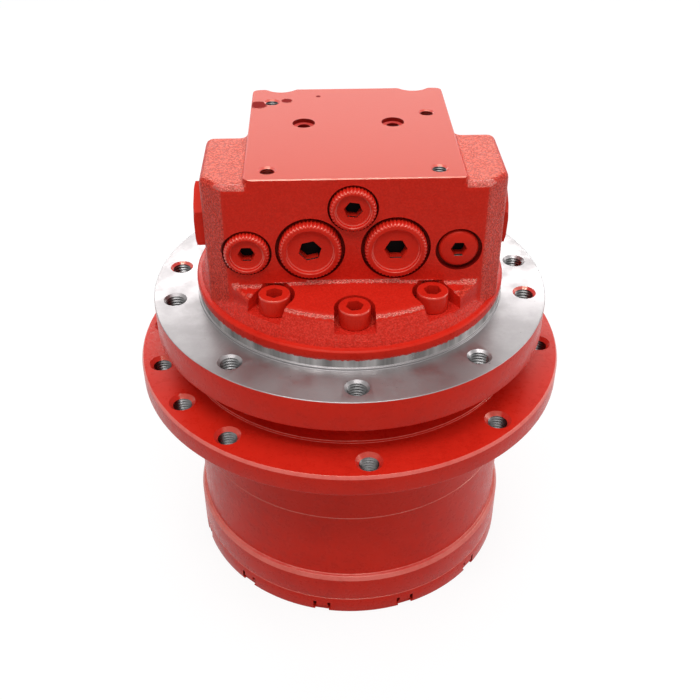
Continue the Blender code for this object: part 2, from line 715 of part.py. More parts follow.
# Spindle
def make_spindle():
    neck_bottom = BEARING_UPPER_TOP + GAP
    seal_bore = SHAFT_SEAL_OUTER_R + GAP
    bearing_bore = SHAFT_BEARING_OUTER_R + GAP
    outside = [
        (PILOT_WALL_R, PILOT_TOP),
        (PILOT_WALL_R, FRAME_FLANGE_TOP + PILOT_STEP_H),
        (PILOT_R, FRAME_FLANGE_TOP + PILOT_STEP_H),
        (PILOT_R, FRAME_FLANGE_TOP),
        (FRAME_FLANGE_R - FRAME_FLANGE_CHAMFER, FRAME_FLANGE_TOP),
        (FRAME_FLANGE_R, FRAME_FLANGE_TOP - FRAME_FLANGE_CHAMFER),
        (FRAME_FLANGE_R, FRAME_FLANGE_BOTTOM),
        (SPINDLE_COLLAR_R, FRAME_FLANGE_BOTTOM),
        (SPINDLE_COLLAR_R, SPINDLE_COLLAR_BOTTOM),
        (SEAL_NECK_R, SPINDLE_COLLAR_BOTTOM),
        (SEAL_NECK_R, neck_bottom),
        (NOSE_R, neck_bottom),
        (NOSE_R, NOSE_FACE),
    ]
    inside = [
        (SHAFT_SEAL_R + 2, NOSE_FACE),
        (SHAFT_SEAL_R + 2, SHAFT_BEARING_BOTTOM - 2 - SHAFT_SEAL_T),
        (seal_bore, SHAFT_BEARING_BOTTOM - 2 - SHAFT_SEAL_T),
        (seal_bore, SHAFT_BEARING_BOTTOM - GAP),
        (bearing_bore, SHAFT_BEARING_BOTTOM - GAP),
        (bearing_bore, MOTOR_FLOOR),
        (MOTOR_BORE_R, MOTOR_FLOOR),
        (MOTOR_BORE_R, BRAKE_SHOULDER),
        (BRAKE_BORE_R, BRAKE_SHOULDER),
        (BRAKE_BORE_R, PILOT_TOP),
    ]
    spindle = turned("spindle", outside + inside, MACHINED, segments=ROUND_LARGE)
    holes = [polar(FRAME_HOLE_PCR, a)[:2] for a in FRAME_HOLE_ANGLES]
    cut(spindle, threaded_holes("frame_hole", holes, FRAME_FLANGE_BOTTOM, FRAME_FLANGE_TOP))
    screws = [polar(CAP_SCREW_PCR, a)[:2] for a in CAP_SCREW_ANGLES]
    depth = CAP_SEAT - CAP_SCREW_LENGTH - 2
    cut(spindle, rods("screw_bore", screws, CAP_SCREW_R + 2 * GAP, depth, PILOT_TOP + 1, segments=8))
    for side, x in (("left", -CRADLE_INNER_X - CRADLE_W), ("right", CRADLE_INNER_X)):
        low = (x, -CRADLE_R + 2, MOTOR_FLOOR - 1)
        high = (x + CRADLE_W, CRADLE_R - 2, MOTOR_FLOOR + SADDLE_H)
        join(spindle, box("saddle_" + side, low, high))
    half = CRADLE_INNER_X + CRADLE_W + 1
    trough = rods("saddle_bore", [(0, 0)], CRADLE_R + GAP, -half, half, segments=24,
                  axis=lying_along((1, 0, 0), (0, 0, SWASH_PIVOT_Z)))
    cut(spindle, trough)
    clear_top = MOTOR_FLOOR + SADDLE_H + 3
    cut(spindle, rods("bearing_clear", [(0, 0)], bearing_bore + 0.5, MOTOR_FLOOR - 0.6, clear_top,
                      segments=ROUND_LARGE))
    speed_bottom = MOTOR_FLOOR - SPEED_PISTON_H - 2
    cut(spindle, rods("speed_bore", [(0, SPEED_PISTON_Y)], SPEED_PISTON_R + GAP, speed_bottom,
                      MOTOR_FLOOR + 1, segments=16))
    turns = planet_angles(math.pi / 2)
    pins = [(PLANET_2_PCR * math.cos(turn), PLANET_2_PCR * math.sin(turn)) for turn in turns]
    tip = STAGE_2_BOTTOM - GAP - PIN_HEAD_T
    join(spindle, stepped("planet_2_pins", pins, pin_profile(tip, NOSE_FACE + 2), 12))
    return spindle


# Gear train
def make_gears():
    steel = MACHINED
    stages = (
        ("planet_1", PLANET_1_TEETH, PLANET_1_PCR, STAGE_1_BOTTOM, STAGE_1_TOP, 0.0),
        ("planet_2", PLANET_2_TEETH, PLANET_2_PCR, STAGE_2_BOTTOM, STAGE_2_TOP, math.pi / 2),
    )
    for stage, teeth, pcr, bottom, top, start in stages:
        for letter, angle in zip("abc", planet_angles(start)):
            bore = circle(PIN_R + PLANET_BORE_GAP, 12)
            outline = gear_outline(teeth, planet_phase(angle, teeth))
            planet = extruded(f"{stage}_{letter}", [outline, bore], bottom, top, steel)
            planet.location = Vector((pcr * math.cos(angle), pcr * math.sin(angle), 0)) * MM
    sun_1 = gear_outline(SUN_1_TEETH, sun_phase(0.0, PLANET_1_TEETH, SUN_1_TEETH))
    extruded("sun_gear_1", [sun_1, circle(SHAFT_TIP_R + GAP, 20)], STAGE_1_BOTTOM, STAGE_1_TOP, steel)
    sun_2 = gear_outline(SUN_2_TEETH, sun_phase(math.pi / 2, PLANET_2_TEETH, SUN_2_TEETH))
    second = extruded("sun_gear_2", [sun_2, circle(SUN_2_BORE_R, 16)], CARRIER_TOP + 1, STAGE_2_TOP, steel)
    journal = ring_profile(SUN_2_BORE_R, SUN_2_JOURNAL_R, CARRIER_BOTTOM + 0.5, CARRIER_TOP + 2)
    join(second, turned("sun_2_journal", journal, segments=16, cutter=True))


def make_carrier():
    outline = []
    reach = PLANET_1_PCR + CARRIER_EDGE
    for angle in planet_angles(0.0):
        for step in range(-4, 5):
            turn = angle + math.radians(12 * step)
            r = reach - 16 * (abs(step) / 4) ** 2
            outline.append((r * math.cos(turn), r * math.sin(turn)))
    bore = circle(SUN_2_JOURNAL_R + GAP, 16)
    carrier = extruded("carrier_1", [outline, bore], CARRIER_BOTTOM, CARRIER_TOP, MACHINED)
    pins = [(PLANET_1_PCR * math.cos(angle), PLANET_1_PCR * math.sin(angle)) for angle in planet_angles(0.0)]
    tip = STAGE_1_BOTTOM - GAP - PIN_HEAD_T
    join(carrier, stepped("planet_1_pins", pins, pin_profile(tip, CARRIER_BOTTOM + 1), 12))


# Drive shaft line
def make_shaft():
    profile = [
        (0.0, PILOT_TOP + 2),
        (SHAFT_TAIL_R, PILOT_TOP + 2),
        (SHAFT_TAIL_R, CYLINDER_TOP),
        (SHAFT_SPLINE_R, CYLINDER_TOP),
        (SHAFT_SPLINE_R, CYLINDER_BOTTOM),
        (SHAFT_UPPER_R, CYLINDER_BOTTOM - 1.5),
        (SHAFT_UPPER_R, SHAFT_BEARING_TOP + 4),
        (SHAFT_COLLAR_R, SHAFT_BEARING_TOP + 3),
        (SHAFT_COLLAR_R, SHAFT_BEARING_TOP + GAP),
        (SHAFT_BEARING_R, SHAFT_BEARING_TOP + GAP),
        (SHAFT_BEARING_R, SHAFT_BEARING_BOTTOM - 1),
        (SHAFT_SEAL_R, SHAFT_BEARING_BOTTOM - 1),
        (SHAFT_SEAL_R, NOSE_FACE + 1),
        (SHAFT_LOWER_R, NOSE_FACE - 1),
        (SHAFT_LOWER_R, STAGE_1_TOP + GAP),
        (SHAFT_TIP_R, STAGE_1_TOP + GAP),
        (SHAFT_TIP_R, SHAFT_BOTTOM),
        (0.0, SHAFT_BOTTOM),
    ]
    turned("drive_shaft", profile, MACHINED, segments=20, closed=False)
    seal_top = SHAFT_BEARING_BOTTOM - 2 + GAP
    seal = ring_profile(SHAFT_SEAL_R + GAP, SHAFT_SEAL_OUTER_R, seal_top - SHAFT_SEAL_T, seal_top)
    turned("shaft_seal", seal, RUBBERY, segments=24)
    inner = ring_profile(SHAFT_BEARING_R + GAP, SHAFT_BALL_PCR - 1.2, SHAFT_BEARING_BOTTOM,
                         SHAFT_BEARING_TOP)
    outer = ring_profile(SHAFT_BALL_PCR + SHAFT_BALL_R + 0.7, SHAFT_BEARING_OUTER_R, SHAFT_BEARING_BOTTOM,
                         SHAFT_BEARING_TOP)
    turned("shaft_bearing_outer", outer, MACHINED, segments=24)
    inner_race = turned("shaft_bearing_inner", inner, MACHINED, segments=24)
    balls = bmesh.new()
    for i in range(SHAFT_BALLS):
        place = polar(SHAFT_BALL_PCR, 360 * i / SHAFT_BALLS, SHAFT_BEARING_BOTTOM + SHAFT_BEARING_T / 2)
        shift = Matrix.Translation(place * MM)
        bmesh.ops.create_uvsphere(balls, u_segments=6, v_segments=4, radius=SHAFT_BALL_R * MM, matrix=shift)
    mesh = bpy.data.meshes.new("shaft_balls")
    balls.to_mesh(mesh)
    balls.free()
    join(inner_race, link("shaft_balls", mesh, cutter=True))


def make_motor():
    bores = [polar(PISTON_PCR, 360 * i / PISTON_COUNT)[:2] for i in range(PISTON_COUNT)]
    barrel = ring_profile(SHAFT_SPLINE_R + GAP, BLOCK_R, CYLINDER_BOTTOM, CYLINDER_TOP)
    block = turned("cylinder_block", barrel, CAST_IRON, segments=ROUND)
    cut(block, rods("cylinder_bores", bores, PISTON_R + 1.5 * GAP, CYLINDER_BOTTOM - 1, CYLINDER_TOP + 1,
                    segments=8))
    plate = ring_profile(SHAFT_UPPER_R + 5, PISTON_PCR + SHOE_R - 1, SHOE_TOP - 0.4, SHOE_TOP + RETAINER_T)
    retainer = turned("piston_set", plate, BRONZE_FACE, segments=ROUND)
    top = CYLINDER_TOP - PISTON_RECESS
    piston = [
        (0.0, top),
        (PISTON_R, top),
        (PISTON_R, SHOE_TOP + 1),
        (SHOE_R, SHOE_TOP - 0.6),
        (SHOE_R, SHOE_BOTTOM),
        (0.0, SHOE_BOTTOM),
    ]
    join(retainer, stepped("pistons", bores, piston, 8))
    ball = [
        (SHAFT_UPPER_R + 3.6, SHOE_TOP + RETAINER_T + 0.5),
        (SHAFT_UPPER_R + 4.6, SHOE_TOP),
        (SHAFT_UPPER_R + 3.6, SHOE_TOP - 2.5),
        (SHAFT_UPPER_R + GAP, SHOE_TOP - 2.5),
        (SHAFT_UPPER_R + GAP, SHOE_TOP + RETAINER_T + 0.5),
    ]
    turned("retainer_guide", ball, MACHINED, segments=24)
    disc = ring_profile(SHAFT_TAIL_R + 3, VALVE_PLATE_R, VALVE_PLATE_BOTTOM, VALVE_PLATE_TOP)
    plate = turned("valve_plate", disc, BRONZE_FACE, segments=ROUND)
    for side, start in (("a", -70), ("b", 110)):
        arc = [math.radians(start + 140 * i / 7) for i in range(8)]
        outer_r = PISTON_PCR + KIDNEY_HALF_W
        inner_r = PISTON_PCR - KIDNEY_HALF_W
        outline = [(outer_r * math.cos(t), outer_r * math.sin(t)) for t in arc]
        outline += [(inner_r * math.cos(t), inner_r * math.sin(t)) for t in reversed(arc)]
        cut(plate, extruded("kidney_" + side, [outline], VALVE_PLATE_BOTTOM - 1, VALVE_PLATE_TOP + 1,
                            cutter=True))


def make_swash():
    """The plate is built level about its pivot, above its cradle bearing, and leaned over by its object."""
    rise = SWASH_FACE_RISE
    disc = ring_profile(CRADLE_R + 0.5, SWASH_R, rise - SWASH_T, rise)
    plate = turned("swash_plate", disc, MACHINED, segments=ROUND)
    for side, x in (("left", -CRADLE_INNER_X - CRADLE_W + 1), ("right", CRADLE_INNER_X + 1)):
        foot = rods("cradle_" + side, [(0, 0)], CRADLE_R, x, x + CRADLE_W - 2, segments=24,
                    axis=lying_along((1, 0, 0), (0, 0, 0)))
        trim = box("cradle_trim_" + side, (x - 1, -20, rise - SWASH_T / 2), (x + CRADLE_W, 20, 20))
        cut(foot, trim)
        foot.parent = plate
        trim.parent = plate
        join(plate, foot)
    plate.location.z = SWASH_PIVOT_Z * MM
    plate.rotation_euler.x = -math.radians(SWASH_ANGLE)
    low = SWASH_CENTRE_Z - SWASH_T / math.cos(math.radians(SWASH_ANGLE))
    reach = (SPEED_PISTON_Y + 3.6) * math.tan(math.radians(SWASH_ANGLE))
    top = low - reach - GAP
    bottom = MOTOR_FLOOR - SPEED_PISTON_H
    profile = [
        (0.0, top),
        (3.0, top),
        (4.0, top - 1.5),
        (4.0, MOTOR_FLOOR),
        (SPEED_PISTON_R, MOTOR_FLOOR - 1),
        (SPEED_PISTON_R, bottom),
        (0.0, bottom),
    ]
    piston = turned("speed_piston", profile, MACHINED, segments=16, closed=False)
    piston.location.y = SPEED_PISTON_Y * MM


def make_brake():
    separator = ring_profile(BLOCK_R + 4, BRAKE_BORE_R - GAP, SEPARATOR_BOTTOM, SEPARATOR_BOTTOM + DISC_T)
    turned("separator_plate", separator, MACHINED)
    friction = ring_profile(BLOCK_R + GAP, DISC_R, FRICTION_BOTTOM, FRICTION_BOTTOM + DISC_T)
    turned("friction_disc", friction, BRONZE_FACE)
    profile = [
        (BRAKE_BORE_R - GAP, BRAKE_PISTON_TOP),
        (BRAKE_BORE_R - GAP, BRAKE_PISTON_BOTTOM + 5),
        (BRAKE_BORE_R - 3, BRAKE_PISTON_BOTTOM),
        (BLOCK_R + 5, BRAKE_PISTON_BOTTOM),
        (BLOCK_R + 5, BRAKE_PISTON_TOP),
    ]
    turned("brake_piston", profile, CAST_IRON)
    low = BRAKE_PISTON_TOP + GAP
    high = SPIGOT_BOTTOM - GAP
    body = bmesh.new()
    sides = 32
    half = BRAKE_SPRING_T / 2
    outer_r = BRAKE_BORE_R - BRAKE_SPRING_EDGE
    inner_r = outer_r - BRAKE_SPRING_W
    rings = []
    for i in range(sides):
        angle = math.tau * i / sides
        middle = (low + high) / 2 + ((high - low) / 2 - half) * math.cos(BRAKE_SPRING_WAVES * angle)
        corners = []
        for r, dz in ((inner_r, -half), (outer_r, -half), (outer_r, half), (inner_r, half)):
            place = Vector((r * math.cos(angle), r * math.sin(angle), middle + dz))
            corners.append(body.verts.new(place * MM))
        rings.append(corners)
    for i in range(sides):
        here, there = rings[i], rings[(i + 1) % sides]
        for k in range(4):
            body.faces.new((here[k], there[k], there[(k + 1) % 4], here[(k + 1) % 4]))
    bmesh.ops.recalc_face_normals(body, faces=body.faces)
    mesh = bpy.data.meshes.new("brake_spring")
    body.to_mesh(mesh)
    body.free()
    link("brake_spring", mesh, MACHINED)


# Valve block
def rounded_box(name, low, high, radius, corners):
    """An upright block with rounded vertical edges; corners maps (sx, sy) to its own (dx, dy, steps)."""
    outline = []
    for sx, sy in ((-1, -1), (1, -1), (1, 1), (-1, 1)):
        dx, dy, steps = corners.get((sx, sy), (radius, radius, 3))
        cx = (high[0] if sx > 0 else low[0]) - sx * dx
        cy = (high[1] if sy > 0 else low[1]) - sy * dy
        start = math.atan2(sy, sx) - math.pi / 4
        for i in range(steps + 1):
            turn = start + math.pi / 2 * i / steps
            outline.append((cx + dx * math.cos(turn), cy + dy * math.sin(turn)))
    return extruded(name, [outline], low[2], high[2], cutter=True)


def pocket_profile(top):
    """The round pocket of a cap screw with its clearance hole below the seat."""
    hole = CAP_SCREW_R + GAP
    return [(0.0, top), (CAP_POCKET_R, top), (CAP_POCKET_R, CAP_SEAT), (hole, CAP_SEAT),
            (hole, BLOCK_BOTTOM - 1), (0.0, BLOCK_BOTTOM - 1)]


def rear_window(name, place):
    """The arched cut in the back of the block that makes room over a cap screw; it is open to the rear."""
    r = CAP_POCKET_R + 0.6
    turns = [math.pi * (1 + i / 6) for i in range(7)]
    outline = [(place.x + r * math.cos(turn), place.y + r * math.sin(turn)) for turn in turns]
    outline += [(place.x + r, 100), (place.x - r, 100)]
    return extruded(name, [outline], FOOT_EDGE_Z + 1.2, CAP_HEAD_TOP + 16, cutter=True)


def make_valve_block():
    base = [
        (0.0, FOOT_CROWN_Z),
        (-FRONT_Y + 3, FOOT_CROWN_Z),
        (FOOT_R, FOOT_EDGE_Z),
        (BLOCK_RIM_BEVEL_R, BLOCK_RIM_TOP),
        (BLOCK_RIM_R, BLOCK_BOTTOM + BLOCK_RIM_H),
        (BLOCK_RIM_R, BLOCK_BOTTOM),
        (BRAKE_BORE_R - GAP, BLOCK_BOTTOM),
        (BRAKE_BORE_R - GAP, SPIGOT_BOTTOM),
        (0.0, SPIGOT_BOTTOM),
    ]
    block = turned("valve_block", base, PAINTED, segments=ROUND_LARGE, closed=False)
    front = {(-1, -1): (CORNER_CUT_X, CORNER_CUT_Y, 3), (1, -1): (CORNER_CUT_X, CORNER_CUT_Y, 3)}
    cross = rounded_box("cross_body", (BLOCK_X - SHOULDER_HALF_W, FRONT_Y, BLOCK_RIM_TOP - 2),
                        (BLOCK_X + SHOULDER_HALF_W, SHOULDER_BACK_Y, SHOULDER_TOP), 6.0, front)
    sharp = {(-1, -1): (1.5, 1.5, 1), (1, -1): (1.5, 1.5, 1)}
    pad = rounded_box("pad_body", (BLOCK_X - PAD_HALF_W, FRONT_Y, BLOCK_RIM_TOP + 4),
                      (BLOCK_X + PAD_HALF_W, BACK_Y, PAD_TOP), PAD_CORNER_R, sharp)
    join(block, cross, pad)
    cut(block, rods("shaft_tail_bore", [(0, 0)], SHAFT_TAIL_R + GAP, SPIGOT_BOTTOM - 1, PILOT_TOP + 4,
                    segments=24))
    screws = [polar(CAP_SCREW_PCR, a) for a in CAP_SCREW_ANGLES]
    open_top = FOOT_CROWN_Z + 0.8
    for name, places, top in (
        ("front_pockets", [p[:2] for p in screws if p.y < 0], open_top),
        ("side_pockets", [p[:2] for p in screws if p.y > 0 and abs(p.x) > PAD_HALF_W], SHOULDER_TOP + 1),
        ("rear_pockets", [p[:2] for p in screws if p.y > 0 and abs(p.x) < PAD_HALF_W], open_top),
    ):
        cut(block, stepped(name, places, pocket_profile(top), 10))
    for i, place in enumerate(p for p in screws if p.y > 0 and abs(p.x) < PAD_HALF_W):
        cut(block, rear_window(f"rear_window_{i}", place))
    scallop_y = BACK_Y + SCALLOP_R - SCALLOP_DEPTH
    scallops = [(BLOCK_X - SCALLOP_X, scallop_y), (BLOCK_X + SCALLOP_X, scallop_y)]
    cut(block, rods("back_scallop", scallops, SCALLOP_R, CAP_HEAD_TOP + 10, PAD_TOP + 1, segments=24))
    cut(block, rods("pad_hole", PAD_HOLES, PAD_HOLE_R, PAD_TOP - 18, PAD_TOP + 1, segments=8))
    sinks = [(-PAD_SINK_X, PAD_SINK_Y), (PAD_SINK_X, PAD_SINK_Y)]
    sink = [
        (0.0, PAD_TOP + 1),
        (PAD_SINK_R, PAD_TOP + 1),
        (PAD_SINK_R, PAD_TOP - 7),
        (PAD_SINK_R - 1.8, PAD_TOP - 7),
        (PAD_SINK_R - 1.8, PAD_TOP - 14),
        (0.0, PAD_TOP - 14),
    ]
    cut(block, stepped("pad_sinks", sinks, sink, 12))
    spool_axis = lying_along((1, 0, 0), (0, SPOOL_Y, SPOOL_Z))
    reach = SHOULDER_HALF_W + BLOCK_X + 1
    cut(block, rods("spool_bore", [(0, 0)], SPOOL_R + GAP, -reach, reach, segments=16, axis=spool_axis))
    inner = CAP_FACE_X - CAP_SHANK - GAP
    for side, radius, near in (("left", CAP_SHANK_R + GAP, inner), ("right", CAP_SHANK_R + GAP, inner),
                               ("face", CAP_HEX_R + 0.8, CAP_FACE_X)):
        low, high = (-reach, -near) if side == "left" else (near, reach)
        cut(block, rods("cap_bore_" + side, [(0, 0)], radius, low, high, segments=16, axis=spool_axis))
    for name, x, z, recess_r, shank_r in front_plugs():
        into = lying_along((0, 1, 0), (x, FRONT_Y, z))
        bottom = RECESS_DEPTH + PLUG_SHANK + GAP
        bore = shank_r + GAP
        profile = [(0.0, bottom), (bore, bottom), (bore, RECESS_DEPTH), (recess_r, RECESS_DEPTH),
                   (recess_r, -1.0), (0.0, -1.0)]
        cut(block, stepped(name + "_seat", [(0, 0)], profile, 14, axis=into))
    for name, x, z, r in (("port_a", -PORT_X, PORT_Z, PORT_R), ("port_b", PORT_X, PORT_Z, PORT_R),
                          ("drain_port", 0.0, PORT_Z + PORT_STEP, DRAIN_R),
                          ("pilot_port", 0.0, PORT_Z - PORT_STEP, PILOT_PORT_R)):
        inward = lying_along((0, -1, 0), (x, BACK_Y, z))
        cut(block, rods(name, [(0, 0)], r, -1, PORT_DEPTH, segments=12, axis=inward))
    return block


def front_plugs():
    return (
        ("relief_plug_left", -LARGE_PLUG_X, LARGE_PLUG_Z, LARGE_RECESS_R, LARGE_HEAD_R - 5),
        ("relief_plug_right", LARGE_PLUG_X, LARGE_PLUG_Z, LARGE_RECESS_R, LARGE_HEAD_R - 5),
        ("shuttle_plug", 0.0, TOP_PLUG_Z, SMALL_RECESS_R, SMALL_HEAD_R - 4),
        ("speed_valve_plug", -SIDE_PLUG_X, SIDE_PLUG_Z, SMALL_RECESS_R, SMALL_HEAD_R - 4),
        ("gauge_plug", SIDE_PLUG_X, SIDE_PLUG_Z, PLAIN_RECESS_R, PLAIN_HEAD_R - 3),
    )


def make_plugs():
    heads = {
        "relief_plug_left": (LARGE_HEAD_R, 16, 7.4, LARGE_HEX_AF),
        "relief_plug_right": (LARGE_HEAD_R, 16, 7.4, LARGE_HEX_AF),
        "shuttle_plug": (SMALL_HEAD_R, 12, 7.6, SMALL_HEX_AF),
        "speed_valve_plug": (SMALL_HEAD_R, 12, 7.6, SMALL_HEX_AF),
        "gauge_plug": (PLAIN_HEAD_R, 0, 3.4, PLAIN_HEX_AF),
    }
    for name, x, z, _, shank_r in front_plugs():
        head_r, knurls, length, hex_af = heads[name]
        if knurls:
            mesh = knurled_head(name, head_r, knurls, length)
        else:
            mesh = extruded_mesh(name, [circle(head_r, 24)], 0.0, length)
        plug = link(name, mesh, PAINTED)
        shank = rods(name + "_shank", [(0, 0)], shank_r, -PLUG_SHANK, 1.3, segments=12)
        socket = extruded(name + "_socket", [hexagon(hex_af, 0.3)], length - 5.0, length + 1, cutter=True)
        tools = [socket]
        if knurls:
            dish_r = head_r * 0.74
            tools.append(rods(name + "_dish", [(0, 0)], dish_r, length - 1.6, length + 1, segments=12))
        for piece in [shank] + tools:
            piece.parent = plug
        join(plug, shank)
        cut(plug, *tools)
        plug.location = Vector((x, FRONT_Y + RECESS_DEPTH - GAP, z)) * MM
        plug.rotation_euler.x = math.pi / 2


def make_cap_screws():
    for i, angle in enumerate(CAP_SCREW_ANGLES):
        bottom = CAP_SEAT - CAP_SCREW_LENGTH
        profile = [
            (0.0, CAP_HEAD_TOP),
            (CAP_HEAD_R, CAP_HEAD_TOP),
            (CAP_HEAD_R, CAP_SEAT + GAP),
            (CAP_SCREW_R, CAP_SEAT + GAP),
            (CAP_SCREW_R, bottom),
            (0.0, bottom),
        ]
        screw = turned(f"cap_screw_{i + 1}", profile, PAINTED, segments=12, closed=False)
        socket = extruded(f"cap_socket_{i + 1}", [hexagon(CAP_HEX_AF)], CAP_HEAD_TOP - 5, CAP_HEAD_TOP + 1,
                          cutter=True)
        screw.location = polar(CAP_SCREW_PCR, angle) * MM
        socket.location = screw.location
        cut(screw, socket)


def make_spool():
    outline = [(0.0, SPOOL_HALF), (SPOOL_R, SPOOL_HALF)]
    z = SPOOL_HALF - SPOOL_LAND
    while z > -SPOOL_HALF + SPOOL_LAND:
        low = z - SPOOL_LAND
        outline += [(SPOOL_R, z), (SPOOL_GROOVE_R, z), (SPOOL_GROOVE_R, low), (SPOOL_R, low)]
        z = low - SPOOL_LAND
    outline += [(SPOOL_R, -SPOOL_HALF), (0.0, -SPOOL_HALF)]
    spool = turned("counterbalance_spool", outline, MACHINED, segments=12, closed=False)
    spool.location = Vector((0, SPOOL_Y, SPOOL_Z)) * MM
    spool.rotation_euler.y = math.pi / 2
    for side, sign in (("left", -1), ("right", 1)):
        cap_inner = CAP_FACE_X - CAP_SHANK
        pocket = -CAP_SHANK + SPOOL_STROKE + 2 * GAP
        profile = [
            (0.0, CAP_HEX_H),
            (CAP_SHANK_R, CAP_HEX_H),
            (CAP_SHANK_R, -CAP_SHANK),
            (SPOOL_R + GAP, -CAP_SHANK),
            (SPOOL_R + GAP, pocket),
            (0.0, pocket),
        ]
        cap = turned("spool_cap_" + side, profile, PAINTED, segments=16, closed=False)
        hexa = extruded("spool_cap_hex_" + side, [circle(CAP_HEX_R, 6, phase=math.pi / 2)], GAP, CAP_HEX_H,
                        cutter=True)
        hexa.parent = cap
        join(cap, hexa)
        cap.location = Vector((sign * CAP_FACE_X, SPOOL_Y, SPOOL_Z)) * MM
        cap.rotation_euler.y = sign * math.pi / 2
        length = cap_inner - SPOOL_HALF - 2 * SPRING_WIRE_R - 2 * GAP
        wire = bpy.data.curves.new("spool_spring_" + side, "CURVE")
        wire.dimensions = "3D"
        wire.bevel_depth = SPRING_WIRE_R * MM
        wire.bevel_resolution = 0
        wire.use_fill_caps = True
        spline = wire.splines.new("POLY")
        steps = 8 * SPRING_TURNS
        spline.points.add(steps)
        radius = SPOOL_R - SPRING_WIRE_R - 1
        for k, point in enumerate(spline.points):
            turn = math.tau * k / 8
            along = SPOOL_HALF + GAP + SPRING_WIRE_R + length * k / steps
            across = (SPOOL_Y + radius * math.cos(turn), SPOOL_Z + radius * math.sin(turn))
            point.co = (*(Vector((sign * along, *across)) * MM), 1.0)
        spring = bpy.data.objects.new("spool_spring_" + side, wire)
        PARTS.objects.link(spring)
        wire.materials.append(finish_of(spring.name, *MACHINED))


make_hub()
make_cover()
make_bearings()
make_face_seal()
make_spindle()
make_gears()
make_carrier()
make_shaft()
make_motor()
make_swash()
make_brake()
make_valve_block()
make_plugs()
make_cap_screws()
make_spool()
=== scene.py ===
"""The looks of the excavator final drive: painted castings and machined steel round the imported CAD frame.

Sizes are in millimetres in the CAD's own frame and turned into metres by MM. Angles round the axis are
counted in degrees from the front (-Y) towards +X.
"""

import json
import math

import bmesh
import bpy
from mathutils import Matrix, Vector


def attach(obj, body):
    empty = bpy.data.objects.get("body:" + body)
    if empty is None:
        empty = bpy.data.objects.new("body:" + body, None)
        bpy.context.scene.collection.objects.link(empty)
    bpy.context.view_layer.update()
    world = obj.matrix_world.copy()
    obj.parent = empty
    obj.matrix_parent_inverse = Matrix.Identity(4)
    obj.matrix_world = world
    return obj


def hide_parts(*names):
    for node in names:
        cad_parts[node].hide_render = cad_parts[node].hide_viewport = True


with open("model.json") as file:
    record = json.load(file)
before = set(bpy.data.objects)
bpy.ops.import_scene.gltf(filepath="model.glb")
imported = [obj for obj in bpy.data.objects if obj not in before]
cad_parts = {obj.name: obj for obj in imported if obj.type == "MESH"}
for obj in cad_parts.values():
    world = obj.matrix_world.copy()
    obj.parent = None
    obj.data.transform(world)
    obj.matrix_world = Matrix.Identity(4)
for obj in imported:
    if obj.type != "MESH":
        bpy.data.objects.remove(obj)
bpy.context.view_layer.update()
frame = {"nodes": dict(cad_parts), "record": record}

MM = 0.001
SIDES = 160                    # round the big turned pieces
SMALL_SIDES = 40               # round holes, heads and screws
FILLET_STEPS = 4
OUTLINE_STEPS = 5
EDGE_STEPS = 5
SHARP_ANGLE = 32.0
GAP = 0.3                      # between a piece and its seat

# Camera, floor and light
LENS = 49.08
LENS_SHIFT = (0.0006, -0.0113)
EYE = (-0.01727, -0.4709, 0.4755)
EYE_TILT = 90 - 36.109
EYE_SLOPE = 0.0366
FLOOR_HALF = 6000
FLOOR_GLOW = 1.36
FLOOR_GLOW_SHARE = 0.64
SKY = 0.38
WHITE = (1.0, 1.0, 1.0, 1.0)
# name, place, size, power and the point that it faces, in metres and watts
LAMPS = (
    ("key_softbox", (-0.12, -0.40, 1.45), (1.2, 0.9), 8.8, (0.0, 0.0, 0.15)),
    ("key_strip", (-0.10, -0.62, 1.30), (0.9, 0.10), 3.0, (0.0, 0.0, 0.15)),
    ("front_strip", (0.0, -1.55, 0.72), (2.0, 0.05), 1.8, (0.0, 0.0, 0.12)),
    ("back_softbox", (0.0, 1.15, 0.76), (1.8, 0.3), 9.4, (0.0, 0.0, 0.26)),
    ("right_softbox", (1.3, 0.1, 0.5), (0.9, 0.7), 4.0, (0.0, 0.0, 0.12)),
)

# Hub and cover
HUB_BASE_R = 98.2
HUB_BASE_TOP = 28.6
HUB_R = 95.3
HUB_LEDGE_Z = 31.0
HUB_GROOVE_Z = 78.0
HUB_FLANGE_R = 124.3
HUB_FLANGE_BOTTOM = 125.3
HUB_FLANGE_TOP = 138.3
HUB_LIP_R = 99.0
HUB_TOP = 140.0
HUB_BOTTOM = 12.1
HUB_BORE_R = 80.3
RING_SEAT_R = 87.6
HUB_HOLE_PCR = 113.0
HUB_HOLES = (3, 43, 83, 103, 123, 143, 183, 223, 263, 283, 303, 323)
COVER_TOP = 11.8
COVER_SPIGOT_R = 87.2
COVER_SPIGOT_TOP = 14.0
NOTCHES = 12
NOTCH_START = 18.0
NOTCH_W = 8.6
NOTCH_H = 4.3
NOTCH_DEPTH = 1.6
NOTCH_SLOT_W = 1.9
NOTCH_SLOT_DEPTH = 4.0
NOTCH_SLOT_TOP = 7.4
DRAIN_X = 62.0                 # of the fill plug, and the drain plug on the other side
DRAIN_BORE_R = 9.3
RING_TEETH = 66
RING_LEVELS = (14.4, 76.4)
RING_SIDES = 264
MODULE = 2.5
PRESSURE_ANGLE = 20

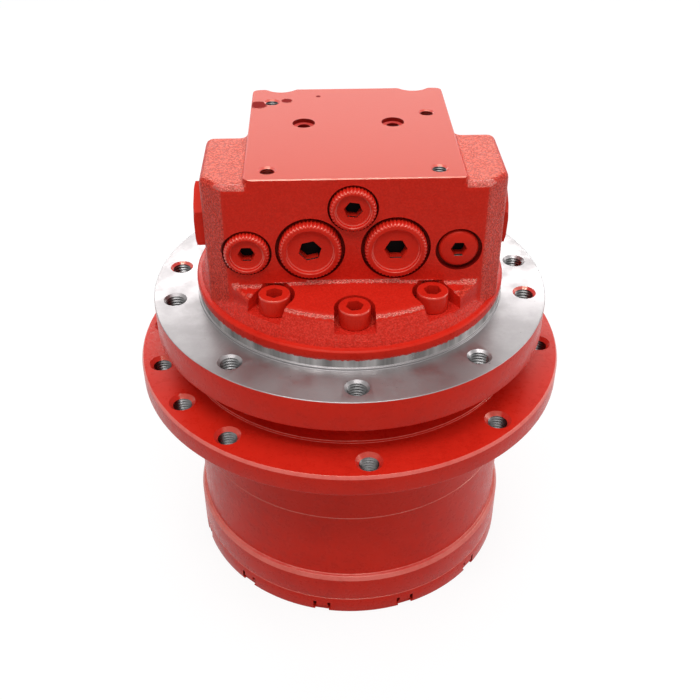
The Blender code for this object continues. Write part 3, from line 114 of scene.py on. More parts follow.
# Spindle
FLANGE_R = 112.5
FLANGE_BOTTOM = 158.4
FLANGE_TOP = 177.05
FLANGE_HOLE_PCR = 100.7
FLANGE_HOLES = (0, 40, 80, 100, 140, 180, 220, 260, 280, 320)
COLLAR_R = 86.0
COLLAR_BOTTOM = 140.9
PILOT_R = 87.2
PILOT_TOP = 178.4
WALL_R = 86.3
WALL_TOP = 184.0
RED_MOUTHS = (80, 260)         # flange holes with paint in their mouths
PLANET_PIN_PCR = 52.5
SPEED_BORE_Y = 35.0
SWASH_Z = 122.0
SADDLE_X = 18.5
SADDLE_W = 15.0

# Threads of the flanges
THREAD_CREST_R = 5.15
THREAD_ROOT_R = 5.95
THREAD_PITCH = 1.75
MOUTH_R = 6.6
HUB_MOUTH_R = 7.3

# Valve block
RIM_R = 87.1
RIM_BOTTOM = 184.15
FRONT_Y = -48.0
BLOCK_X = 1.1
PAD_TOP = 265.5
PAD_HALF_W = 55.2
BACK_Y = 69.0
SCALLOP_X = 38.5
SCALLOP_R = 10.7
SCALLOP_DEPTH = 4.4
SHOULDER_TOP = 262.3
SHOULDER_BACK = 11.5
FLANK_Y = -37.0
FOOT_R = 76.2
SPRING_ROOM = 178.3            # the ring groove that takes the brake spring when the brake is released
VOXEL = 1.0
SMOOTH_STEPS = 4
SCREW_PCR = 69.8
SCREW_ANGLES = (0, 36, 108, 144, 180, 216, 252, 324)
SCREW_TOP = 205.5
SCREW_SEAT = 195.2
SCREW_HEAD_R = 8.3
POCKET_R = 10.6
SPOOL_Y = -15.0
SPOOL_Z = 230.0
SHOULDER_HALF_W = 78.0
SIDES_FOOT = 96
WINDOW_R = 10.7                # arched openings over the screws under the pad
SIDE_POCKET_R = 9.6
PAD_HOLES = ((-42.4, -37.5), (43.4, -37.8), (-42.5, 50.2), (44.1, 32.6))
SINK_X = 24.3
SINK_Y = 20.0
SINKS = ((-SINK_X, SINK_Y), (SINK_X, SINK_Y))
# rear ports: x, z, radius of the bore, radius of the spot face
PORTS = ((-24, 243, 10.5, 16.5), (24, 243, 10.5, 16.5), (0, 252, 6.5, 9.5), (0, 234, 4.6, 7.5))
WORN_DABS = ((-50.0, 46.5, 7.5), (-34.0, 52.0, 4.5), (-16.0, 58.0, 2.0))
CAP_FACE_X = 76.9
CAP_HEX_R = 19.3
CAP_HEX_H = 5.1

# Front plugs: node, x, z, recess radius, head radius, height of the head, knurls, dish radius and the
# hexagon's width across flats
PLUGS = (
    ("relief_plug_left", -22.0, 225.8, 18.0, 16.1, 7.2, 50, 12.4, 10.3),
    ("relief_plug_right", 22.0, 225.8, 18.0, 16.1, 7.2, 50, 12.4, 10.3),
    ("shuttle_plug", 0.0, 248.9, 12.9, 11.8, 7.4, 38, 9.0, 8.0),
    ("speed_valve_plug", -54.6, 224.3, 12.9, 11.7, 7.0, 38, 8.8, 7.6),
    ("gauge_plug", 54.6, 224.3, 12.1, 10.4, 3.4, 0, 0.0, 7.2),
)
HEX_TURNS = (13, 0, -9, 0, 0)
PLUG_RECESS = 4.0
PLUG_SHANK = 11.0
KNURL_DEPTH = 0.75

RED = (0.66, 0.020, 0.0095)
RED_DARK = (0.57, 0.015, 0.0075)
GLOSS_TINT = (1.0, 0.80, 0.62)
STEEL = (0.345, 0.324, 0.326)


# Materials
def material(name):
    mat = bpy.data.materials.new(name)
    mat.use_nodes = True
    return mat, mat.node_tree, mat.node_tree.nodes["Principled BSDF"]


def add(tree, kind, **values):
    """A new node. A value named like an input, with _ for a space, goes there; others are settings."""
    made = tree.nodes.new(kind)
    for key, value in values.items():
        label = key.replace("_", " ")
        if label in made.inputs:
            made.inputs[label].default_value = value
        else:
            setattr(made, key, value)
    return made


def wire(tree, source, target):
    tree.links.new(source, target)


def millimetres(tree):
    """The object's own coordinates in millimetres, which don't slide when the camera or a body moves."""
    place = add(tree, "ShaderNodeTexCoord")
    scale = add(tree, "ShaderNodeVectorMath", operation="SCALE")
    scale.inputs["Scale"].default_value = 1000.0
    wire(tree, place.outputs["Object"], scale.inputs[0])
    return scale.outputs[0]


def noise(tree, place, scale, detail=3.0, roughness=0.5):
    made = add(tree, "ShaderNodeTexNoise", Scale=scale, Detail=detail, Roughness=roughness)
    wire(tree, place, made.inputs["Vector"])
    return made.outputs["Fac"]


def ramp(tree, source, low, high, bottom=0.0, top=1.0):
    made = add(tree, "ShaderNodeMapRange", interpolation_type="SMOOTHSTEP")
    made.inputs["From Min"].default_value = low
    made.inputs["From Max"].default_value = high
    made.inputs["To Min"].default_value = bottom
    made.inputs["To Max"].default_value = top
    wire(tree, source, made.inputs["Value"])
    return made.outputs["Result"]


def blend_colour(tree, factor, first, second):
    mix = add(tree, "ShaderNodeMix", data_type="RGBA")
    wire(tree, factor, mix.inputs["Factor"])
    for socket, colour in ((mix.inputs["A"], first), (mix.inputs["B"], second)):
        if isinstance(colour, tuple):
            socket.default_value = (*colour, 1.0)
        else:
            wire(tree, colour, socket)
    return mix.outputs["Result"]


def combine(tree, operation, first, second):
    made = add(tree, "ShaderNodeMath", operation=operation)
    for socket, value in zip(made.inputs, (first, second)):
        if isinstance(value, (int, float)):
            socket.default_value = value
        else:
            wire(tree, value, socket)
    return made.outputs[0]


def scaled(colour, factor):
    return tuple(c * factor for c in colour)


def bump(tree, height, distance, below=None):
    made = add(tree, "ShaderNodeBump", Distance=distance * MM)
    wire(tree, height, made.inputs["Height"])
    if below is not None:
        wire(tree, below, made.inputs["Normal"])
    return made.outputs["Normal"]


def paint(name, grain=0.0, roughness=0.30, tint=RED, deep=RED_DARK, gloss=0.14):
    """Sprayed red enamel: uneven thickness, orange peel and, with grain, the sand-cast skin under it, its
    crests painted lighter and its hollows darker as painted highlight and shade.
    """
    mat, tree, shader = material(name)
    place = millimetres(tree)
    cloud = noise(tree, place, 0.035, 4.0, 0.6)
    blotch = noise(tree, place, 0.22, 4.0, 0.65)
    tone = combine(tree, "ADD", combine(tree, "MULTIPLY", cloud, 0.6), combine(tree, "MULTIPLY", blotch, 0.4))
    colour = blend_colour(tree, ramp(tree, tone, 0.36, 0.62), deep, tint)
    base = blend_colour(tree, ramp(tree, tone, 0.30, 0.75, 0.15, 0.85), colour, tint)
    peel = noise(tree, place, 0.9, 2.0, 0.5)
    skin = bump(tree, peel, 0.035)
    if grain:
        pebble = noise(tree, place, 1.05, 3.0, 0.55)
        lump = noise(tree, place, 0.2, 3.0, 0.5)
        cast = combine(tree, "ADD", pebble, combine(tree, "MULTIPLY", lump, 0.8))
        skin = bump(tree, cast, grain, below=skin)
        # Painted light on the grain: crests get a lighter colour as a painted highlight, hollows a darker one
        # as painted shade.
        crest = tuple(min(1.0, c * (1.0 + 0.22 * grain) + 0.028 * grain) for c in tint)
        grain_pit_shade = scaled(deep, 1.0 - 0.42 * min(1.0, grain))
        rough = blend_colour(tree, ramp(tree, pebble, 0.40, 0.62), grain_pit_shade, crest)
        base = blend_colour(tree, ramp(tree, pebble, 0.46, 0.54, 0.55, 0.85), base, rough)
    wire(tree, base, shader.inputs["Base Color"])
    wire(tree, skin, shader.inputs["Normal"])
    wire(tree, ramp(tree, blotch, 0.3, 0.7, roughness - 0.06, roughness + 0.08), shader.inputs["Roughness"])
    shader.inputs["Specular IOR Level"].default_value = gloss
    shader.inputs["Specular Tint"].default_value = (*GLOSS_TINT, 1.0)
    return mat


def bare_steel(name, colour=STEEL, roughness=0.36, anisotropy=0.55):
    """Turned steel: fine circular tool marks, a thin oil film and a few darker stains."""
    mat, tree, shader = material(name)
    place = millimetres(tree)
    split = add(tree, "ShaderNodeSeparateXYZ")
    wire(tree, place, split.inputs[0])
    flat = combine(tree, "ADD", combine(tree, "POWER", split.outputs["X"], 2.0),
                   combine(tree, "POWER", split.outputs["Y"], 2.0))
    radius = combine(tree, "SQRT", flat, 0.0)
    rings = add(tree, "ShaderNodeCombineXYZ")
    wire(tree, combine(tree, "MULTIPLY", radius, 1.6), rings.inputs["X"])
    wire(tree, combine(tree, "MULTIPLY", split.outputs["Z"], 1.6), rings.inputs["Y"])
    marks = noise(tree, rings.outputs[0], 1.0, 4.0, 0.7)
    smudge = noise(tree, place, 0.05, 5.0, 0.65)
    speck = noise(tree, place, 0.5, 1.0, 0.5)
    base = blend_colour(tree, ramp(tree, smudge, 0.35, 0.68), scaled(colour, 0.835), colour)
    spots = ramp(tree, speck, 0.205, 0.225)
    wire(tree, blend_colour(tree, spots, scaled(colour, 0.45), base), shader.inputs["Base Color"])
    wire(tree, ramp(tree, smudge, 0.3, 0.7, roughness + 0.1, roughness - 0.05), shader.inputs["Roughness"])
    wire(tree, bump(tree, marks, 0.004), shader.inputs["Normal"])
    shader.inputs["Metallic"].default_value = 1.0
    shader.inputs["Anisotropic"].default_value = anisotropy
    shader.inputs["Anisotropic Rotation"].default_value = 0.25
    if anisotropy:
        tangent = add(tree, "ShaderNodeTangent", direction_type="RADIAL", axis="Z")
        wire(tree, tangent.outputs[0], shader.inputs["Tangent"])
    return mat


def worn_and_lit_pad(name):
    """The machined pad: smoother enamel, tinted lighter and warmer as painted light for the light on its top,
    and brushed through at its rear left corner.
    """
    mat = paint(name, tint=(0.575, 0.040, 0.015), deep=(0.57, 0.039, 0.0145))
    tree = mat.node_tree
    shader = tree.nodes["Principled BSDF"]
    place = millimetres(tree)
    dabs = None
    for x, y, radius in WORN_DABS:
        away = add(tree, "ShaderNodeVectorMath", operation="DISTANCE")
        wire(tree, place, away.inputs[0])
        away.inputs[1].default_value = (x, y, PAD_TOP)
        dab = ramp(tree, combine(tree, "DIVIDE", away.outputs["Value"], radius), 0.2, 1.3, 1.0, 0.0)
        dabs = dab if dabs is None else combine(tree, "MAXIMUM", dabs, dab)
    ragged = combine(tree, "MULTIPLY", dabs, noise(tree, place, 1.1, 5.0, 0.8))
    clean = shader.inputs["Base Color"].links[0].from_socket
    mask = ramp(tree, ragged, 0.26, 0.34)
    wire(tree, blend_colour(tree, mask, clean, (0.24, 0.006, 0.006)), shader.inputs["Base Color"])
    wire(tree, ramp(tree, mask, 0.0, 1.0, 0.37, 0.85), shader.inputs["Roughness"])
    return mat


def metal(name, colour, roughness):
    mat, tree, shader = material(name)
    place = millimetres(tree)
    cloud = noise(tree, place, 0.12, 4.0, 0.6)
    base = blend_colour(tree, ramp(tree, cloud, 0.35, 0.65), scaled(colour, 0.7), colour)
    wire(tree, base, shader.inputs["Base Color"])
    wire(tree, ramp(tree, cloud, 0.3, 0.7, roughness + 0.06, roughness - 0.06), shader.inputs["Roughness"])
    wire(tree, bump(tree, noise(tree, place, 1.3, 3.0), 0.02), shader.inputs["Normal"])
    shader.inputs["Metallic"].default_value = 1.0
    return mat


def rubber(name):
    mat, tree, shader = material(name)
    place = millimetres(tree)
    cloud = noise(tree, place, 0.3, 4.0, 0.6)
    base = blend_colour(tree, cloud, (0.015, 0.015, 0.015), (0.035, 0.033, 0.032))
    wire(tree, base, shader.inputs["Base Color"])
    wire(tree, ramp(tree, cloud, 0.3, 0.7, 0.5, 0.65), shader.inputs["Roughness"])
    wire(tree, bump(tree, noise(tree, place, 2.0, 2.0), 0.02), shader.inputs["Normal"])
    return mat


def shade_black(name):
    """Near-black painted shade for the insides of holes and sockets."""
    mat, tree, shader = material(name)
    cloud = noise(tree, millimetres(tree), 0.8, 3.0, 0.6)
    base = blend_colour(tree, cloud, (0.002, 0.002, 0.002), (0.010, 0.008, 0.008))
    wire(tree, base, shader.inputs["Base Color"])
    wire(tree, ramp(tree, cloud, 0.3, 0.7, 0.5, 0.7), shader.inputs["Roughness"])
    shader.inputs["Specular IOR Level"].default_value = 0.04
    return mat


def overspray(name):
    """The steel wall under the valve block: upright streaks, and paint that ran over its upper edge."""
    mat = bare_steel(name, roughness=0.3, anisotropy=0.0)
    tree = mat.node_tree
    shader = tree.nodes["Principled BSDF"]
    place = millimetres(tree)
    split = add(tree, "ShaderNodeSeparateXYZ")
    wire(tree, place, split.inputs[0])
    ragged = combine(tree, "SUBTRACT", noise(tree, place, 0.35, 5.0, 0.7), 0.5)
    ragged = combine(tree, "MULTIPLY", ragged, 3.4)
    edge = ramp(tree, combine(tree, "ADD", split.outputs["Z"], ragged), WALL_TOP - 1.2, WALL_TOP - 0.9)
    around = combine(tree, "ARCTAN2", split.outputs["Y"], split.outputs["X"])
    lines = add(tree, "ShaderNodeCombineXYZ")
    wire(tree, combine(tree, "MULTIPLY", around, 9.0), lines.inputs["X"])
    streak = noise(tree, lines.outputs[0], 1.0, 6.0, 0.6)
    streak = ramp(tree, streak, 0.3, 0.7)
    metal_colour = blend_colour(tree, streak, (0.20, 0.195, 0.19), (0.66, 0.65, 0.64))
    wire(tree, blend_colour(tree, edge, metal_colour, RED), shader.inputs["Base Color"])
    wire(tree, combine(tree, "SUBTRACT", 1.0, edge), shader.inputs["Metallic"])
    metal_gloss = shader.inputs["Roughness"].links[0].from_socket
    gloss = combine(tree, "MAXIMUM", metal_gloss, combine(tree, "MULTIPLY", edge, 0.38))
    wire(tree, gloss, shader.inputs["Roughness"])
    return mat


PAINT = paint("red_enamel")
PAINT_FACE = paint("red_enamel_front", grain=0.08, roughness=0.26)
PAINT_PAD = worn_and_lit_pad("red_enamel_pad")
PAINT_CAST = paint("red_enamel_cast", grain=0.9, roughness=0.32, tint=(0.67, 0.036, 0.015), gloss=0.18)
# Painted light: a lighter, warmer copy of the cast enamel for the up-facing shoulder tops, standing in for
# the light falling on them.
PAINT_LIT_SHOULDER = paint("red_enamel_shoulder_lit", grain=1.0, roughness=0.36, tint=(0.80, 0.115, 0.066),
                  deep=(0.70, 0.05, 0.026), gloss=0.3)
PAINT_CONE = paint("red_enamel_foot", grain=0.45, roughness=0.26, gloss=0.2)
# Painted highlight: a lighter, glossy red for chamfers and rounded edges, standing in for the light they
# catch.
PAINT_EDGE_HIGHLIGHT = paint("red_enamel_edge_highlight", roughness=0.15, tint=(0.78, 0.11, 0.095), deep=(0.68, 0.045, 0.035),
                   gloss=1.0)
# Painted highlight, subtler: a slightly lighter, glossy red for rims of plugs, screws and hole mouths.
PAINT_RIM_HIGHLIGHT = paint("red_enamel_rim_highlight", roughness=0.18, tint=(0.70, 0.040, 0.028), deep=(0.62, 0.022, 0.014),
                  gloss=0.8)
# Painted glints: a lighter, grained and glossy red for the rounded front edges of the casting.
PAINT_GLINT = paint("red_enamel_glint", grain=0.9, roughness=0.12, tint=(0.74, 0.060, 0.050), gloss=1.0)
# Painted shade: dark red for recesses, slots, sockets and hole walls.
PAINT_RECESS_SHADE = paint("red_enamel_recess_shade", roughness=0.45, tint=(0.22, 0.006, 0.004), deep=(0.12, 0.003, 0.002))
TURNED = bare_steel("turned_steel")
WALL = overspray("pilot_wall")
# The thread steel is dark oily steel, kept darker still as painted shade inside the holes; the two below are
# near-black painted shade for overhanging thread flanks and socket insides.
THREAD = metal("thread_steel", (0.20, 0.195, 0.195), 0.30)
THREAD_SHADE = shade_black("thread_shade")
SOCKET_SHADE = shade_black("socket_painted_shade")
# Painted highlight, partly real wear: light bare steel for the up-facing facets at a socket's mouth.
SOCKET_MOUTH_HIGHLIGHT = metal("socket_mouth_highlight", (0.80, 0.68, 0.66), 0.3)
GROUND = bare_steel("ground_steel", (0.60, 0.60, 0.61), 0.25, anisotropy=0.0)
IRON = metal("machined_iron", (0.28, 0.27, 0.27), 0.42)
BRONZE = metal("bearing_bronze", (0.60, 0.40, 0.17), 0.33)
RUBBER = rubber("seal_rubber")


# Geometry
def polar(radius, angle, z=0.0):
    turn = math.radians(angle)
    return Vector((radius * math.sin(turn), -radius * math.cos(turn), z))


def soften(points, closed=True):
    """Corners given as (r, z, fillet) are rounded; those given as (r, z) stay sharp."""
    result = []
    count = len(points)
    for i, point in enumerate(points):
        fillet = point[2] if len(point) > 2 else 0.0
        here = Vector(point[:2])
        if not fillet or (not closed and i in (0, count - 1)):
            result.append(tuple(here))
            continue
        before = (Vector(points[i - 1][:2]) - here).normalized()
        after = (Vector(points[(i + 1) % count][:2]) - here).normalized()
        half = before.angle(after) / 2
        reach = fillet / math.tan(half)
        middle = here + (before + after).normalized() * (fillet / math.sin(half))
        start = here + before * reach - middle
        end = here + after * reach - middle
        sweep = start.angle_signed(end)
        for k in range(FILLET_STEPS + 1):
            turn = -sweep * k / FILLET_STEPS
            result.append((middle.x + start.x * math.cos(turn) - start.y * math.sin(turn),
                           middle.y + start.x * math.sin(turn) + start.y * math.cos(turn)))
    return result


def mesh_object(name, verts, faces, finish=None):
    mesh = bpy.data.meshes.new(name)
    mesh.from_pydata([tuple(Vector(v) * MM) for v in verts], [], faces)
    body = bmesh.new()
    body.from_mesh(mesh)
    bmesh.ops.recalc_face_normals(body, faces=body.faces)
    body.to_mesh(mesh)
    body.free()
    obj = bpy.data.objects.new(name, mesh)
    bpy.context.scene.collection.objects.link(obj)
    if finish is not None:
        mesh.materials.append(finish)
    return obj


def lathe(name, profile, finish=None, sides=SIDES, closed=True):
    """A profile of (r, z) turned about Z; points on the axis become one vertex."""
    verts = []
    rows = []
    for r, z in profile:
        if r < 1e-6:
            rows.append([len(verts)] * sides)
            verts.append((0.0, 0.0, z))
        else:
            rows.append(list(range(len(verts), len(verts) + sides)))
            for k in range(sides):
                turn = math.tau * k / sides
                verts.append((r * math.cos(turn), r * math.sin(turn), z))
    faces = []
    pairs = list(zip(rows, rows[1:])) + ([(rows[-1], rows[0])] if closed else [])
    for upper, lower in pairs:
        for k in range(sides):
            n = (k + 1) % sides
            corners = [upper[k], upper[n], lower[n], lower[k]]
            corners = list(dict.fromkeys(corners))
            if len(corners) > 2:
                faces.append(corners)
    return mesh_object(name, verts, faces, finish)


def solid(name, profile, finish=None, sides=SMALL_SIDES):
    """A turned body whose profile starts and ends on the axis."""
    return lathe(name, profile, finish, sides, closed=False)


def loft(name, rings):
    """Closed outlines with equal point counts, each a list of (x, y, z), joined in order and capped."""
    count = len(rings[0])
    verts = [point for ring in rings for point in ring]
    faces = []
    for i in range(len(rings) - 1):
        for k in range(count):
            n = (k + 1) % count
            faces.append((i * count + k, i * count + n, (i + 1) * count + n, (i + 1) * count + k))
    faces.append(tuple(reversed(range(count))))
    faces.append(tuple((len(rings) - 1) * count + k for k in range(count)))
    return mesh_object(name, verts, faces)


def round_outline(corners):
    """(x, y, radius) corners of a plan, rounded into a closed outline."""
    outline = []
    count = len(corners)
    for i, (x, y, radius) in enumerate(corners):
        here = Vector((x, y))
        before = (Vector(corners[i - 1][:2]) - here).normalized()
        after = (Vector(corners[(i + 1) % count][:2]) - here).normalized()
        half = before.angle(after) / 2
        start = here + before * radius / math.tan(half)
        end = here + after * radius / math.tan(half)
        for k in range(OUTLINE_STEPS + 1):
            t = k / OUTLINE_STEPS
            outline.append((1 - t) ** 2 * start + 2 * t * (1 - t) * here + t * t * end)
    return outline


def inset(outline, distance):
    """The outline moved inwards; it has to run counter-clockwise."""
    moved = []
    count = len(outline)
    for i, point in enumerate(outline):
        along = (outline[(i + 1) % count] - outline[i - 1]).normalized()
        moved.append(point + Vector((-along.y, along.x)) * distance)
    return moved


def prism(name, outline, bottom, top, edge=0.0):
    """An upright body over an outline whose top edge is rounded with a radius."""
    rings = [[(p.x, p.y, bottom) for p in outline]]
    if edge:
        for k in range(EDGE_STEPS + 1):
            turn = math.pi / 2 * k / EDGE_STEPS
            shrunk = inset(outline, edge * (1 - math.cos(turn)))
            rings.append([(p.x, p.y, top - edge + edge * math.sin(turn)) for p in shrunk])
    else:
        rings.append([(p.x, p.y, top) for p in outline])
    return loft(name, rings)


def block(name, low, high):
    corners = ((low[0], low[1]), (high[0], low[1]), (high[0], high[1]), (low[0], high[1]))
    return prism(name, [Vector(p) for p in corners], low[2], high[2])


def settle(obj):
    """Applies what the modifiers make to the mesh itself."""
    graph = bpy.context.evaluated_depsgraph_get()
    graph.update()
    mesh = bpy.data.meshes.new_from_object(obj.evaluated_get(graph))
    mesh.name = obj.name
    while mesh.materials and mesh.materials[-1] is None:
        mesh.materials.pop()
    obj.modifiers.clear()
    obj.data = mesh


def carve(obj, tools, operation="DIFFERENCE"):
    """Cuts or joins the tools and removes them."""
    for tool in tools:
        step = obj.modifiers.new(tool.name, "BOOLEAN")
        step.operation = operation
        step.solver = "MANIFOLD"
        step.object = tool
        settle(obj)
        bpy.data.objects.remove(tool)


def posed(obj, matrix):
    obj.data.transform(matrix)
    return obj


def facing(direction, point):
    """The matrix that lays a shape built along Z in a direction, with its zero at a point in millimetres."""
    turn = Vector(direction).to_track_quat("Z", "Y").to_matrix().to_4x4()
    return Matrix.Translation(Vector(point) * MM) @ turn


def repaint(obj, finish, test):
    """Gives a finish to the faces whose centre, in millimetres, and normal pass the test."""
    names = [m.name for m in obj.data.materials]
    if finish.name not in names:
        obj.data.materials.append(finish)
        names.append(finish.name)
    index = names.index(finish.name)
    for face in obj.data.polygons:
        if test(face.center / MM, face.normal):
            face.material_index = index


def off_axis(centre):
    return math.hypot(centre.x, centre.y)


def rims(inner, low=0.0):
    """A test for a turned piece's chamfers and rounded corners outside a radius."""
    def tilted(centre, normal):
        return centre.z > low and off_axis(centre) > inner and 0.12 < normal.z < 0.97
    return tilted


def near(spots, radius, low, high):
    """A test for faces round any of the (x, y) spots between two heights."""
    def inside(centre, _):
        if not low < centre.z < high:
            return False
        return any((centre.x - x) ** 2 + (centre.y - y) ** 2 < radius ** 2 for x, y in spots)
    return inside


def shaded_threads(obj, spots, radius, low, high):
    """Steel threads whose overhanging flanks are painted black as shade."""
    inside = near(spots, radius, low, high)
    repaint(obj, THREAD, inside)
    repaint(obj, THREAD_SHADE, lambda c, n: n.z < -0.05 and inside(c, n))


def hexagon(across_flats, phase=0.0):
    r = across_flats / math.sqrt(3)
    turns = [phase + math.tau * k / 6 for k in range(6)]
    return [Vector((r * math.cos(turn), r * math.sin(turn))) for turn in turns]


def thread_cutter(bottom, top, crest=THREAD_CREST_R, root=THREAD_ROOT_R, mouth=MOUTH_R, pitch=THREAD_PITCH):
    """A tapped hole with a countersunk mouth, as a solid to cut away."""
    profile = [(0.0, top + 1), (mouth + 1.0, top + 1), (crest + 0.1, top - (mouth - crest - 0.1))]
    z = top - (mouth - crest)
    while z - pitch > bottom:
        profile += [(crest, z), (root, z - pitch * 0.5), (crest, z - pitch * 0.95)]
        z -= pitch
    profile += [(crest, bottom), (0.0, bottom)]
    return solid("tap", profile, sides=28)


def moved(obj, offset):
    obj.data.transform(Matrix.Translation(Vector(offset) * MM))
    return obj


def merged(name, objects):
    """Several separate solids as one object, so that one cut takes them all."""
    body = bmesh.new()
    for obj in objects:
        body.from_mesh(obj.data)
        bpy.data.objects.remove(obj)
    mesh = bpy.data.meshes.new(name)
    body.to_mesh(mesh)
    body.free()
    made = bpy.data.objects.new(name, mesh)
    bpy.context.scene.collection.objects.link(made)
    return made


def finish_piece(obj, body, node):
    """Smooth shading up to the sharp edges, the piece's body, and its CAD node hidden."""
    obj.data.shade_smooth()
    obj.data.set_sharp_from_angle(angle=math.radians(SHARP_ANGLE))
    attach(obj, body)
    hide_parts(node)


# Stage
def seen_directly(tree):
    """One for what the camera sees, mirrored or through glass too, and zero for light on the object."""
    path = add(tree, "ShaderNodeLightPath")
    seen = combine(tree, "MAXIMUM", path.outputs["Is Camera Ray"], path.outputs["Is Transmission Ray"])
    return combine(tree, "MAXIMUM", seen, path.outputs["Is Glossy Ray"])


def make_stage():
    camera = bpy.data.cameras.new("camera")
    camera.lens = LENS
    camera.sensor_width = 36.0
    camera.shift_x, camera.shift_y = LENS_SHIFT
    camera.clip_start = 0.01
    eye = bpy.data.objects.new("camera", camera)
    eye.location = EYE
    eye.rotation_euler = (math.radians(EYE_TILT), 0.0, -math.atan(EYE_SLOPE))
    bpy.context.scene.collection.objects.link(eye)
    bpy.context.scene.camera = eye

    mat, tree, shader = material("floor_paper")
    cloud = noise(tree, millimetres(tree), 0.01, 2.0)
    wire(tree, blend_colour(tree, cloud, (0.40, 0.40, 0.40), (0.42, 0.42, 0.42)), shader.inputs["Base Color"])
    shader.inputs["Roughness"].default_value = 0.8
    shader.inputs["Specular IOR Level"].default_value = 0.1
    glow = add(tree, "ShaderNodeEmission", Strength=FLOOR_GLOW)
    mix = add(tree, "ShaderNodeMixShader")
    wire(tree, combine(tree, "MULTIPLY", seen_directly(tree), FLOOR_GLOW_SHARE), mix.inputs[0])
    wire(tree, shader.outputs[0], mix.inputs[1])
    wire(tree, glow.outputs[0], mix.inputs[2])
    wire(tree, mix.outputs[0], tree.nodes["Material Output"].inputs["Surface"])
    corners = [(x * FLOOR_HALF, y * FLOOR_HALF, 0) for x, y in ((-1, -1), (1, -1), (1, 1), (-1, 1))]
    floor = mesh_object("floor", corners, [(0, 1, 2, 3)], mat)

    world = bpy.data.worlds.new("studio")
    world.use_nodes = True
    tree = world.node_tree
    sky = tree.nodes["Background"]
    sky.inputs["Color"].default_value = WHITE
    sky.inputs["Strength"].default_value = SKY
    clear = add(tree, "ShaderNodeBackground", Color=WHITE, Strength=1.0)
    mix = add(tree, "ShaderNodeMixShader")
    wire(tree, seen_directly(tree), mix.inputs[0])
    wire(tree, sky.outputs[0], mix.inputs[1])
    wire(tree, clear.outputs[0], mix.inputs[2])
    wire(tree, mix.outputs[0], tree.nodes["World Output"].inputs["Surface"])
    bpy.context.scene.world = world
    bpy.context.scene.view_settings.view_transform = "Standard"

    for name, spot, size, power, aim in LAMPS:
        lamp = bpy.data.lights.new(name, "AREA")
        lamp.shape = "RECTANGLE"
        lamp.size, lamp.size_y = size
        lamp.energy = power
        obj = bpy.data.objects.new(name, lamp)
        obj.location = spot
        obj.rotation_euler = (Vector(aim) - Vector(spot)).to_track_quat("-Z", "Y").to_euler()
        bpy.context.scene.collection.objects.link(obj)


# Hub, ring gear and cover
def make_hub():
    outside = [
        (HUB_LIP_R, HUB_TOP, 0.35),
        (HUB_LIP_R, HUB_FLANGE_TOP, 0.25),
        (HUB_FLANGE_R - 0.9, HUB_FLANGE_TOP, 0.3),
        (HUB_FLANGE_R, HUB_FLANGE_TOP - 1.9, 0.3),
        (HUB_FLANGE_R, HUB_FLANGE_BOTTOM, 0.8),
        (HUB_R, HUB_FLANGE_BOTTOM, 1.6),
        (HUB_R, HUB_GROOVE_Z + 0.4),
        (HUB_R - 0.3, HUB_GROOVE_Z, 0.15),
        (HUB_R, HUB_GROOVE_Z - 0.3),
        (HUB_R, HUB_LEDGE_Z, 0.5),
        (HUB_BASE_R - 1.3, HUB_LEDGE_Z - 0.5, 0.8),
        (HUB_BASE_R, HUB_BASE_TOP - 0.5, 0.8),
        (HUB_BASE_R, HUB_BOTTOM, 0.35),
    ]
    inside = [
        (RING_SEAT_R, HUB_BOTTOM), (RING_SEAT_R, 77.0), (86.2, 83.8), (HUB_BORE_R, 83.8), (HUB_BORE_R, 101.3),
        (74.5, 101.3), (74.5, 109.3), (HUB_BORE_R, 109.3), (HUB_BORE_R, HUB_TOP, 0.5),
    ]
    hub = lathe("hub_shell", soften(outside + inside), PAINT)
    holes = [polar(HUB_HOLE_PCR, a) for a in HUB_HOLES]
    taps = [moved(thread_cutter(HUB_FLANGE_BOTTOM - 1, HUB_FLANGE_TOP, mouth=HUB_MOUTH_R), p) for p in holes]
    # Painted highlight: the hub's chamfers and rounded corners get the lighter edge red.
    repaint(hub, PAINT_EDGE_HIGHLIGHT, rims(90))
    carve(hub, [merged("taps", taps)])
    spots = [(p.x, p.y) for p in holes]
    mouths = near(spots, HUB_MOUTH_R + 0.2, HUB_FLANGE_TOP - 2.3, HUB_FLANGE_TOP)
    # Painted highlight: the up-facing chamfers of the hole mouths get the lighter rim red.
    repaint(hub, PAINT_RIM_HIGHLIGHT, lambda c, n: 0.2 < n.z < 0.95 and mouths(c, n))
    shaded_threads(hub, spots, THREAD_ROOT_R + 0.1, HUB_FLANGE_BOTTOM + 0.2, HUB_FLANGE_TOP - 2.1)
    repaint(hub, GROUND, lambda c, n: c.z < 137 and off_axis(c) < 88)
    finish_piece(hub, "hub_body", "hub")
    count = RING_SIDES
    radius = RING_SEAT_R - 0.05
    turns = [math.tau * k / count for k in range(count)]
    ring = [Vector((radius * math.cos(turn), radius * math.sin(turn))) for turn in turns]
    teeth = gear_outline(RING_TEETH)
    low, high = RING_LEVELS
    verts = []
    for outline, z in ((ring, low), (ring, high), (teeth, high), (teeth, low)):
        verts += [(p.x, p.y, z) for p in outline]
    faces = []
    for level in range(4):
        for k in range(count):
            n = (k + 1) % count
            a, b = level * count, (level + 1) % 4 * count
            faces.append((a + k, a + n, b + n, b + k))
    gear = mesh_object("ring_gear", verts, faces, GROUND)
    finish_piece(gear, "hub_body", "hub")


